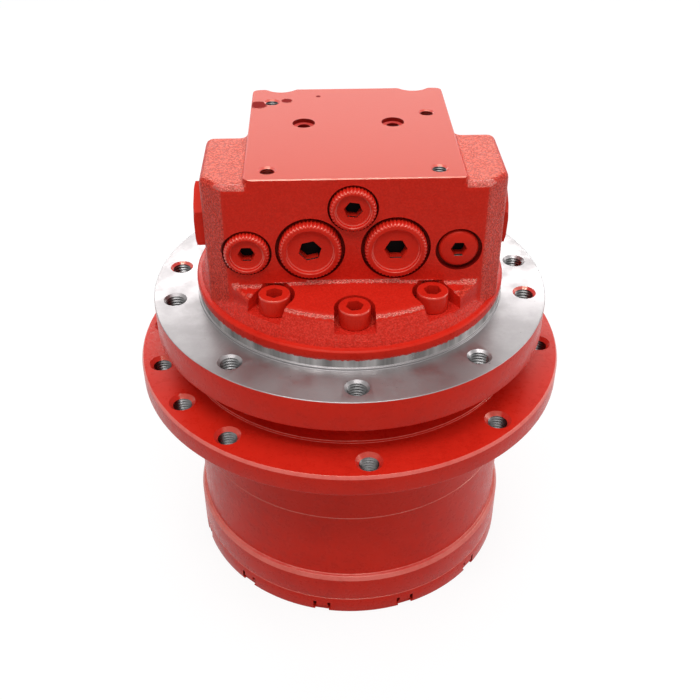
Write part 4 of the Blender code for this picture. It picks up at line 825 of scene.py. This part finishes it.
def gear_outline(teeth):
    """The ring gear's inside, with a tooth space at angle zero, four points to a tooth as in the CAD."""
    pitch_r = MODULE * teeth / 2
    outer = pitch_r + MODULE * 1.22
    inner = pitch_r - MODULE * 0.8
    half = (MODULE * math.pi / 2 + 0.42) / 2 / pitch_r
    slope = math.radians(PRESSURE_ANGLE)
    base = pitch_r * math.cos(slope)
    roll = math.tan(slope) - slope

    def spread(radius):
        pressure = math.acos(min(1.0, base / radius))
        return half + roll - (math.tan(pressure) - pressure)
    points = []
    for i in range(teeth):
        middle = math.tau * i / teeth
        root = spread(inner)
        tip = spread(outer)
        for radius, turn in ((inner, -root), (outer, -tip), (outer, tip), (inner, root)):
            turn += middle
            points.append(Vector((radius * math.cos(turn), radius * math.sin(turn))))
    return points


def make_cover():
    profile = [
        (0.0, 17.4), (6.0, 17.4, 0.3), (7.5, 10.0, 0.5), (60.0, 10.0, 1.0), (65.2, COVER_SPIGOT_TOP, 1.0),
        (COVER_SPIGOT_R, COVER_SPIGOT_TOP, 0.6), (COVER_SPIGOT_R, COVER_TOP), (HUB_BASE_R, COVER_TOP, 0.35),
        (HUB_BASE_R, 0.0, 0.8), (0.0, 0.0),
    ]
    cover = solid("cover_shell", soften(profile, closed=False), PAINT, SIDES)
    # Painted highlight: the cover's chamfers and rounded corners get the lighter edge red.
    repaint(cover, PAINT_EDGE_HIGHLIGHT, rims(90))
    tools = []
    for i in range(NOTCHES):
        turn = Matrix.Rotation(math.radians(NOTCH_START + 360 * i / NOTCHES), 4, "Z")
        outside = -HUB_BASE_R - 1
        notch_end = -HUB_BASE_R + NOTCH_DEPTH
        slot_end = -HUB_BASE_R + NOTCH_SLOT_DEPTH
        half = NOTCH_SLOT_W / 2
        notch = block("notch", (-NOTCH_W / 2, outside, -1), (NOTCH_W / 2, notch_end, NOTCH_H))
        slots = [block("slot", (x - half, outside, 1.2), (x + half, slot_end, NOTCH_SLOT_TOP))
                 for x in (-NOTCH_W / 2, NOTCH_W / 2)]
        tools.append([posed(tool, turn) for tool in (notch, *slots)])
    for group in zip(*tools):
        carve(cover, [merged("notches", group)])
    for x in (-DRAIN_X, DRAIN_X):
        bore = solid("bore", [(0.0, 15.0), (DRAIN_BORE_R, 15.0), (DRAIN_BORE_R, -1.0), (0.0, -1.0)])
        carve(cover, [moved(bore, (x, 0, 0))])
    deep = HUB_BASE_R - NOTCH_SLOT_DEPTH - 0.6
    shallow = HUB_BASE_R - NOTCH_DEPTH - 0.3
    # Painted shade: the insides of the notch slots get the dark recess red.
    repaint(cover, PAINT_RECESS_SHADE, lambda c, n: 0.5 < c.z < NOTCH_SLOT_TOP + 0.2 and deep < off_axis(c) < shallow)
    repaint(cover, GROUND, lambda c, n: c.z > COVER_TOP - 0.4 and off_axis(c) < COVER_SPIGOT_R + 0.5)
    finish_piece(cover, "hub_body", "end_cover")
    for name, x in (("fill_plug", DRAIN_X), ("drain_plug", -DRAIN_X)):
        profile = soften([(0.0, 9.0), (9.0, 9.0), (9.0, 1.2, 0.5), (0.0, 1.2)], closed=False)
        plug = solid(name + "_shell", profile, GROUND)
        carve(plug, [prism("hex", hexagon(10.0), -1.0, 6.0)])
        # Painted shade: the hex socket's inside is near-black.
        repaint(plug, SOCKET_SHADE, lambda c, n: c.z > 1.4 and off_axis(c) < 6.2)
        moved(plug, (x, 0, 0))
        finish_piece(plug, "hub_body", name)


# Spindle
def make_spindle():
    outside = [
        (WALL_R, WALL_TOP, 0.3),
        (WALL_R, PILOT_TOP, 0.4),
        (PILOT_R, PILOT_TOP, 0.35),
        (PILOT_R, FLANGE_TOP, 0.3),
        (FLANGE_R, FLANGE_TOP, 0.5),
        (FLANGE_R, FLANGE_BOTTOM, 0.8),
        (COLLAR_R, FLANGE_BOTTOM, 1.2),
        (COLLAR_R, COLLAR_BOTTOM, 0.5),
        (71.7, COLLAR_BOTTOM),
        (71.7, 126.6),
        (62.0, 126.6),
        (62.0, 74.3),
    ]
    inside = [
        (14.0, 74.3), (14.0, 79.0), (20.3, 79.0), (20.3, 87.7), (26.3, 87.7), (26.3, 104.0), (54.0, 104.0),
        (54.0, 150.0), (60.0, 150.0), (60.0, WALL_TOP),
    ]
    spindle = lathe("spindle_shell", soften(outside + inside), TURNED)
    holes = [polar(FLANGE_HOLE_PCR, a) for a in FLANGE_HOLES]
    taps = [moved(thread_cutter(FLANGE_BOTTOM - 1, FLANGE_TOP), p) for p in holes]
    carve(spindle, [merged("taps", taps)])
    screws = [polar(SCREW_PCR, a) for a in SCREW_ANGLES]
    bores = [moved(thread_cutter(166.2, WALL_TOP, 5.3, 5.7, 5.9, 1.5), p) for p in screws]
    carve(spindle, [merged("bores", bores)])
    pins = []
    for k in range(3):
        turn = math.pi / 2 + math.tau * k / 3
        profile = [(0.0, 76.0), (9.0, 76.0), (9.0, 49.7), (10.6, 49.7, 0.3), (10.6, 48.5, 0.3), (0.0, 48.5)]
        pin = solid("pin", soften(profile, closed=False), sides=32)
        pins.append(moved(pin, (PLANET_PIN_PCR * math.cos(turn), PLANET_PIN_PCR * math.sin(turn), 0)))
    carve(spindle, [merged("pins", pins)], "UNION")
    speed = solid("speed", [(0.0, 105.0), (7.3, 105.0), (7.3, 88.0), (0.0, 88.0)], sides=32)
    carve(spindle, [moved(speed, (0, SPEED_BORE_Y, 0))])
    saddles = [block("saddle", (x, -15, 103.0), (x + SADDLE_W, 15, 113.0))
               for x in (-SADDLE_X - SADDLE_W, SADDLE_X)]
    hollow = solid("hollow", [(0.0, 40), (17.3, 40), (17.3, -40), (0.0, -40)], sides=64)
    posed(hollow, facing((1, 0, 0), (0, 0, SWASH_Z)))
    saddle = merged("saddles", saddles)
    carve(saddle, [hollow])
    clear = solid("clear", [(0.0, 120), (26.8, 120), (26.8, 100), (0.0, 100)], sides=64)
    carve(saddle, [clear])
    carve(spindle, [saddle], "UNION")
    spots = [(p.x, p.y) for p in holes]
    repaint(spindle, PAINT, lambda c, n: COLLAR_BOTTOM - 0.3 < c.z < FLANGE_TOP - 0.35 and off_axis(c) > 85)
    repaint(spindle, TURNED, near(spots, MOUTH_R + 0.4, FLANGE_TOP - 1.8, FLANGE_TOP))
    reddened = [polar(FLANGE_HOLE_PCR, angle).xy for angle in RED_MOUTHS]
    red_mouths = near(reddened, MOUTH_R + 0.4, FLANGE_TOP - 1.8, FLANGE_TOP)
    # Real red paint in these two hole mouths, laid in the lighter edge red, so partly a painted highlight.
    repaint(spindle, PAINT_EDGE_HIGHLIGHT, lambda c, n: n.z < 0.97 and red_mouths(c, n))
    shaded_threads(spindle, spots, THREAD_ROOT_R + 0.15, FLANGE_BOTTOM + 0.2, FLANGE_TOP - 1.4)
    repaint(spindle, WALL, lambda c, n: c.z > PILOT_TOP + 0.3 and abs(off_axis(c) - WALL_R) < 0.4)
    finish_piece(spindle, "housing", "spindle")


# Valve block
def casting():
    """The rough casting: foot, cross body and pad fused into one skin with soft inner and outer corners."""
    foot = solid("valve_block_shell", [
        (0.0, 206.0), (50.0, 205.9), (74.2, 203.4), (FOOT_R, 202.0), (84.4, 189.6), (84.4, 186.0),
        (0.0, 186.0),
    ], PAINT_CAST, SIDES_FOOT)
    left = BLOCK_X - SHOULDER_HALF_W
    right = BLOCK_X + SHOULDER_HALF_W
    cross = prism("cross", round_outline([
        (-64.8, FRONT_Y, 4.0), (67.4, FRONT_Y, 4.0), (right, FLANK_Y, 5.0), (right, SHOULDER_BACK, 5.0),
        (left, SHOULDER_BACK, 5.0), (left, FLANK_Y, 5.0),
    ]), 188.0, SHOULDER_TOP, edge=3.4)
    left = BLOCK_X - PAD_HALF_W
    right = BLOCK_X + PAD_HALF_W
    pad = prism("pad", round_outline([
        (left, FRONT_Y, 3.5), (right, FRONT_Y, 1.2), (right, BACK_Y, 5.0), (left, BACK_Y, 5.0),
    ]), 190.0, PAD_TOP + 2.5)
    scallop_y = BACK_Y + SCALLOP_R - SCALLOP_DEPTH
    for x in (BLOCK_X - SCALLOP_X, BLOCK_X + SCALLOP_X):
        cut = solid("scallop", [(0.0, 275.0), (SCALLOP_R, 275.0), (SCALLOP_R, 215.5), (0.0, 215.5)])
        carve(pad, [moved(cut, (x, scallop_y, 0))])
    gussets = []
    for sign in (-1, 1):
        corner = BLOCK_X + sign * 65.0
        ring = [(corner, FRONT_Y), (BLOCK_X + sign * 51.0, -62.5), (BLOCK_X + sign * 36.0, -62.5),
                (BLOCK_X + sign * 30.0, -40.0), (corner, -40.0)]
        heights = (205.8, 199.8, 201.0, 206.0, 206.0)
        lower = [(x, y, 188.0) for x, y in ring]
        upper = [(x, y, z) for (x, y), z in zip(ring, heights)]
        gussets.append(loft("gusset", [lower, upper]))
    fillets = []
    for x, reach in ((left + 0.5, -4.5), (right - 0.5, 4.5)):
        arc = [Vector((x, SHOULDER_BACK - 1.0)), Vector((x + reach, SHOULDER_BACK - 1.0))]
        arc += [Vector((x + reach - reach * math.sin(t), SHOULDER_BACK + 9.0 - 9.0 * math.cos(t)))
                for t in (math.pi / 2 * k / 6 for k in range(7))]
        fillets.append(prism("fillet", arc, 200.0, SHOULDER_TOP - 0.5))
    carve(foot, [cross, pad, *gussets, *fillets], "UNION")
    remesh = foot.modifiers.new("skin", "REMESH")
    remesh.mode = "VOXEL"
    remesh.voxel_size = VOXEL * MM
    smooth = foot.modifiers.new("soft", "SMOOTH")
    smooth.factor = 0.5
    smooth.iterations = SMOOTH_STEPS
    settle(foot)
    return foot


def make_valve_block():
    body = casting()
    rim = solid("rim", soften([
        (0.0, 192.0), (83.0, 192.0), (84.2, 189.4, 0.3), (86.2, 189.0, 0.5), (RIM_R, 188.2, 0.4),
        (RIM_R, RIM_BOTTOM, 0.4),
        (59.7, RIM_BOTTOM), (59.7, SPRING_ROOM), (49.3, SPRING_ROOM), (49.3, 177.0), (0.0, 177.0),
    ], closed=False), sides=SIDES)
    carve(body, [rim], "UNION")
    carve(body, [block("skim", (-200, -200, PAD_TOP), (200, 200, PAD_TOP + 20))])
    for turn, reach in ((0.0, -FRONT_Y), (-90.0, PAD_HALF_W - BLOCK_X), (90.0, PAD_HALF_W + BLOCK_X)):
        inner, outer = -reach + 1.5, -reach - 2.0
        section = ((inner, PAD_TOP + 1.0), (outer, PAD_TOP + 1.0), (outer, PAD_TOP - 2.5))
        wedge = loft("wedge", [[(x, y, z) for y, z in section] for x in (-150, 150)])
        carve(body, [posed(wedge, Matrix.Rotation(math.radians(turn), 4, "Z"))])
    screws = [polar(SCREW_PCR, a) for a in SCREW_ANGLES]
    pockets = []
    for p in screws:
        beside = abs(p.x) > PAD_HALF_W and p.y > 0
        top = SHOULDER_TOP + 3 if beside else 206.2
        radius = SIDE_POCKET_R if beside else POCKET_R
        profile = [(0.0, top), (radius, top), (radius, SCREW_SEAT, 0.6), (5.4, SCREW_SEAT), (5.4, 183.0),
                   (0.0, 183.0)]
        pockets.append(moved(solid("pocket", soften(profile, closed=False)), p))
    carve(body, [merged("pockets", pockets)])
    mouths = []
    for angle in SCREW_ANGLES:
        mouth = block("mouth", (-POCKET_R, -SCREW_PCR - 30, SCREW_SEAT), (POCKET_R, -SCREW_PCR, 203.5))
        mouths.append(posed(mouth, Matrix.Rotation(math.radians(angle), 4, "Z")))
    carve(body, [merged("mouths", mouths)])
    for p in screws:
        if p.y > 0 and abs(p.x) < PAD_HALF_W:
            arch = [Vector((p.x + WINDOW_R * math.cos(t), p.y + WINDOW_R * math.sin(t)))
                    for t in (math.pi * (1 + i / 14) for i in range(15))]
            arch += [Vector((p.x + WINDOW_R, 100)), Vector((p.x - WINDOW_R, 100))]
            carve(body, [prism("window", arch, 203.2, 221.5)])
    for _, x, z, recess_r, head_r, *_rest in PLUGS:
        shank = head_r - 4.7
        bottom = PLUG_RECESS + PLUG_SHANK
        profile = soften([
            (0.0, bottom), (shank + 0.4, bottom), (shank + 0.4, PLUG_RECESS), (recess_r, PLUG_RECESS, 0.4),
            (recess_r, -3.0), (0.0, -3.0),
        ], closed=False)
        seat = solid("seat", profile, sides=56)
        carve(body, [posed(seat, facing((0, 1, 0), (x, FRONT_Y, z)))])
    face_r = CAP_HEX_R + 0.5
    inner = CAP_FACE_X - 12.3
    spool = solid("spool", [
        (0.0, 82), (face_r, 82), (face_r, CAP_FACE_X), (14.3, CAP_FACE_X), (14.3, inner), (9.3, inner),
        (9.3, -inner), (14.3, -inner), (14.3, -82), (0.0, -82),
    ])
    carve(body, [posed(spool, facing((1, 0, 0), (0, SPOOL_Y, SPOOL_Z)))])
    for x, z, r, face in PORTS:
        cut = solid("port", soften([
            (0.0, 24.0), (r - 0.6, 24.0), (r - 0.6, 2.2), (r, 1.6), (face, 1.6, 0.3), (face, -6.0),
            (0.0, -6.0),
        ], closed=False))
        carve(body, [posed(cut, facing((0, -1, 0), (x, BACK_Y, z)))])
    taps = [moved(thread_cutter(PAD_TOP - 18, PAD_TOP, 3.5, 4.1, 4.5, 1.25), (x, y, 0)) for x, y in PAD_HOLES]
    carve(body, [merged("taps", taps)])
    sinks = []
    for x, y in SINKS:
        profile = [(0.0, PAD_TOP + 1), (6.4, PAD_TOP + 1), (6.1, PAD_TOP - 0.3), (6.1, PAD_TOP - 2.2),
                   (3.5, PAD_TOP - 2.2), (3.5, PAD_TOP - 14.0), (0.0, PAD_TOP - 14.0)]
        sinks.append(moved(solid("sink", profile, sides=32), (x, y, 0)))
    carve(body, [merged("sinks", sinks)])
    carve(body, [solid("tail", [(0.0, 188.5), (8.8, 188.5), (8.8, 176.0), (0.0, 176.0)], sides=32)])
    paint_block(body)
    finish_piece(body, "housing", "valve_block")


def paint_block(body):
    """The finishes of the valve block's faces, each laid over the ones before it."""
    def top_land(c, n):
        return off_axis(c) < FOOT_R + 1 and c.z > 200.5

    # Painted glints: the rounded front edges picked out here get the lighter glint red.
    def front_glint_edge(c, n):
        at_foot = 203.8 < c.z < 208.5 and c.y > FRONT_Y - 2.2
        at_shoulder = c.z > SHOULDER_TOP - 3.6 and abs(c.x - BLOCK_X) > PAD_HALF_W - 3.5
        return n.y < -0.25 and n.z > 0.25 and c.y < FRONT_Y + 4.5 and (at_foot or at_shoulder)

    repaint(body, PAINT_CONE, lambda c, n: c.z < 201.5 and off_axis(c) > 74 and n.z > 0.3)
    # Painted light: the up-facing shoulder tops get the lit copy of the cast enamel.
    repaint(body, PAINT_LIT_SHOULDER, lambda c, n: n.z > 0.86 and c.z > SHOULDER_TOP - 1.5)
    repaint(body, PAINT_FACE, lambda c, n: c.z < 207.5 and (c.y < FRONT_Y + 0.8 or c.y > 0) and
            (top_land(c, n) or n.z < 0.3))
    repaint(body, PAINT_FACE, lambda c, n: n.y < -0.9 and c.y < FRONT_Y + 0.6 and c.z > 204)
    repaint(body, PAINT_PAD, lambda c, n: n.z > 0.95 and c.z > PAD_TOP - 0.2)
    repaint(body, PAINT, lambda c, n: c.z < 189.7 and off_axis(c) > 82)
    # Painted glints on the front edges and on the land's outer edge.
    repaint(body, PAINT_GLINT, front_glint_edge)
    repaint(body, PAINT_GLINT, lambda c, n: 200.0 < c.z < 202.8 and 0.6 < n.z < 0.975 and
            FOOT_R - 1.2 < off_axis(c) < FOOT_R + 1.0)
    # Painted highlight: the pad's edge chamfer gets the lighter edge red.
    repaint(body, PAINT_EDGE_HIGHLIGHT, lambda c, n: 0.5 < n.z < 0.9 and c.z > PAD_TOP - 0.9 and n.y < 0.1)
    # Painted shade: the walls of each plug's recess get the dark recess red.
    for _, x, z, recess_r, *_rest in PLUGS:
        repaint(body, PAINT_RECESS_SHADE, lambda c, n: FRONT_Y + 0.3 < c.y < FRONT_Y + PLUG_RECESS + 0.2
                and math.hypot(c.x - x, c.z - z) < recess_r + 0.3)
    shaded_threads(body, PAD_HOLES[1:3], 4.3, PAD_TOP - 19, PAD_TOP - 0.5)
    # Two pad holes keep red paint in their threads, laid in the dark recess red, so partly painted shade.
    repaint(body, PAINT_RECESS_SHADE, near(PAD_HOLES[::3], 4.3, PAD_TOP - 19, PAD_TOP - 0.9))
    # Painted shade and highlight in the sinks: their walls dark, their up-facing ledges in the lighter edge
    # red.
    sink_walls = near(SINKS, 6.6, PAD_TOP - 15, PAD_TOP - 0.1)
    repaint(body, PAINT_RECESS_SHADE, lambda c, n: n.z < 0.5 and sink_walls(c, n))
    sink_ledges = near(SINKS, 6.0, PAD_TOP - 4, PAD_TOP - 1)
    repaint(body, PAINT_EDGE_HIGHLIGHT, lambda c, n: n.z > 0.5 and sink_ledges(c, n))
    repaint(body, GROUND, lambda c, n: c.z < RIM_BOTTOM + 0.2 and n.z < 0.5 and off_axis(c) < 86)


# Plugs, screws and caps
def plug_mesh(name, head_r, length, knurls, dish_r):
    """A plug along Z with its seat at zero: shank, knurled rim rounded at the front, and a dished face."""
    rows = [
        (0.0, -PLUG_SHANK, 0), (head_r - 4.7, -PLUG_SHANK, 0), (head_r - 4.7, 0.0, 0), (head_r - 0.5, 0.0, 0),
        (head_r - 0.5, 0.3, 0), (head_r, 0.8, 1), (head_r, length - 1.7, 1),
        (head_r - 0.45, length - 0.8, 0.8),
        (head_r - 1.1, length - 0.25, 0.25), (head_r - 1.7, length, 0),
    ]
    if dish_r:
        rows += [(dish_r + 0.4, length, 0), (dish_r, length - 0.35, 0), (dish_r - 0.2, length - 1.7, 0),
                 (dish_r - 0.7, length - 2.0, 0), (0.0, length - 2.0, 0)]
    else:
        rows += [(0.0, length, 0)]
    sides = knurls * 6 if knurls else 56
    verts = []
    rings = []
    for r, z, depth in rows:
        if r < 1e-6:
            rings.append([len(verts)] * sides)
            verts.append((0.0, 0.0, z))
            continue
        rings.append(list(range(len(verts), len(verts) + sides)))
        for k in range(sides):
            turn = math.tau * k / sides
            valley = 0.5 - 0.5 * math.cos(math.tau * k * knurls / sides)
            dip = KNURL_DEPTH * depth * valley ** 1.5 if knurls else 0.0
            verts.append(((r - dip) * math.cos(turn), (r - dip) * math.sin(turn), z))
    faces = []
    for lower, upper in zip(rings, rings[1:]):
        for k in range(sides):
            n = (k + 1) % sides
            corners = list(dict.fromkeys([lower[k], lower[n], upper[n], upper[k]]))
            if len(corners) > 2:
                faces.append(corners)
    return mesh_object(name, verts, faces, PAINT)


def make_plugs():
    for (node, x, z, _, head_r, length, knurls, dish_r, hex_af), turn in zip(PLUGS, HEX_TURNS):
        plug = plug_mesh(node + "_shell", head_r, length, knurls, dish_r)
        floor = length - 2.0 if dish_r else length
        # Painted highlight: the chamfers and rounded faces at the front get the lighter rim red.
        repaint(plug, PAINT_RIM_HIGHLIGHT, lambda c, n: 0.2 < n.z < 0.9 and c.z > floor - 0.3)
        outline = hexagon(hex_af, math.radians(turn))
        levels = ((-6.0, 0.0), (-1.6, 0.0), (-0.5, 0.0), (0.02, 0.45), (3.0, 0.45))
        rings = []
        for z_off, grow in levels:
            wider = 1 + grow / hex_af
            rings.append([(p.x * wider, p.y * wider, floor + z_off) for p in outline])
        carve(plug, [loft("hex", rings)])
        posed(plug, facing((0, -1, 0), (x, FRONT_Y + PLUG_RECESS - GAP, z)))
        front = FRONT_Y + PLUG_RECESS - GAP - floor

        def in_socket(c, low, high):
            return low < c.y - front < high and math.hypot(c.x - x, c.z - z) < hex_af * 0.62
        # Painted shade and highlight in the hex socket: black inside, red kept on the up-facing walls, and
        # light bare steel on the up-facing facets at the mouth, partly real wear.
        repaint(plug, SOCKET_SHADE, lambda c, n: in_socket(c, 0.15, 6.5))
        repaint(plug, PAINT, lambda c, n: in_socket(c, 0.15, 5.9) and n.z > 0.3)
        repaint(plug, SOCKET_MOUTH_HIGHLIGHT, lambda c, n: in_socket(c, 0.05, 1.6) and n.z > 0.55)
        finish_piece(plug, "housing", node)


def make_screws():
    for i, angle in enumerate(SCREW_ANGLES):
        bottom = SCREW_SEAT - 27.0
        seat = SCREW_SEAT + GAP
        profile = [
            (0.0, SCREW_TOP), (SCREW_HEAD_R, SCREW_TOP, 0.9), (SCREW_HEAD_R, seat, 0.3), (5.0, seat, 0.3),
            (5.0, bottom, 0.6), (0.0, bottom),
        ]
        screw = solid(f"cap_screw_shell_{i + 1}", soften(profile, closed=False), PAINT)
        # Painted highlight: the head's rounded top edge gets the lighter rim red.
        repaint(screw, PAINT_RIM_HIGHLIGHT, rims(6.0, SCREW_TOP - 1.5))
        socket = hexagon(8.2, math.radians(10 + 37 * i))
        carve(screw, [prism("hex", socket, SCREW_TOP - 5.2, SCREW_TOP + 2)])
        repaint(screw, GROUND, lambda c, n: c.z < seat - 0.2)
        # Painted shade: the screw's hex socket walls get the dark recess red.
        repaint(screw, PAINT_RECESS_SHADE, lambda c, n: seat < c.z < SCREW_TOP - 3.0 and off_axis(c) < 4.9)
        moved(screw, polar(SCREW_PCR, angle))
        finish_piece(screw, "housing", f"cap_screw_{i + 1}")


def make_spool_caps():
    for side, sign in (("left", -1), ("right", 1)):
        outer = solid("cap_body", soften([
            (0.0, CAP_HEX_H), (17.4, CAP_HEX_H, 0.5), (20.4, 3.9), (20.4, 0.3), (0.0, 0.3),
        ], closed=False), sides=96)
        phase = 0.0 if sign < 0 else math.radians(8)
        hexa = prism("cap_hex", hexagon(CAP_HEX_R * math.sqrt(3), phase), -1.0, 9.0)
        carve(hexa, [outer], "INTERSECT")
        shank = solid("spool_cap_shell_" + side, [
            (0.0, 2.0), (14.0, 2.0), (14.0, -12.0), (9.3, -12.0), (9.3, -7.4), (0.0, -7.4),
        ], PAINT)
        carve(shank, [hexa], "UNION")
        seat = Matrix.Translation(Vector((sign * CAP_FACE_X, SPOOL_Y, SPOOL_Z)) * MM)
        posed(shank, seat @ Matrix.Rotation(sign * math.pi / 2, 4, "Y"))
        finish_piece(shank, "housing", "spool_cap_" + side)


# The CAD's own pieces
def dress_frame():
    """Procedural finishes for the CAD pieces that stay, by their material slot."""
    finishes = {"machined_steel": GROUND, "cast_iron": IRON, "bronze": BRONZE, "seal_rubber": RUBBER,
                "red_paint": PAINT}
    slots = {part["node"]: part["material_slot"] for part in frame["record"]["subparts"]}
    for name, obj in frame["nodes"].items():
        finish = finishes[slots[name]]
        if not obj.data.materials:
            obj.data.materials.append(finish)
        for i in range(len(obj.material_slots)):
            obj.material_slots[i].material = finish


make_stage()
make_hub()
make_cover()
make_spindle()
make_valve_block()
make_plugs()
make_screws()
make_spool_caps()
dress_frame()
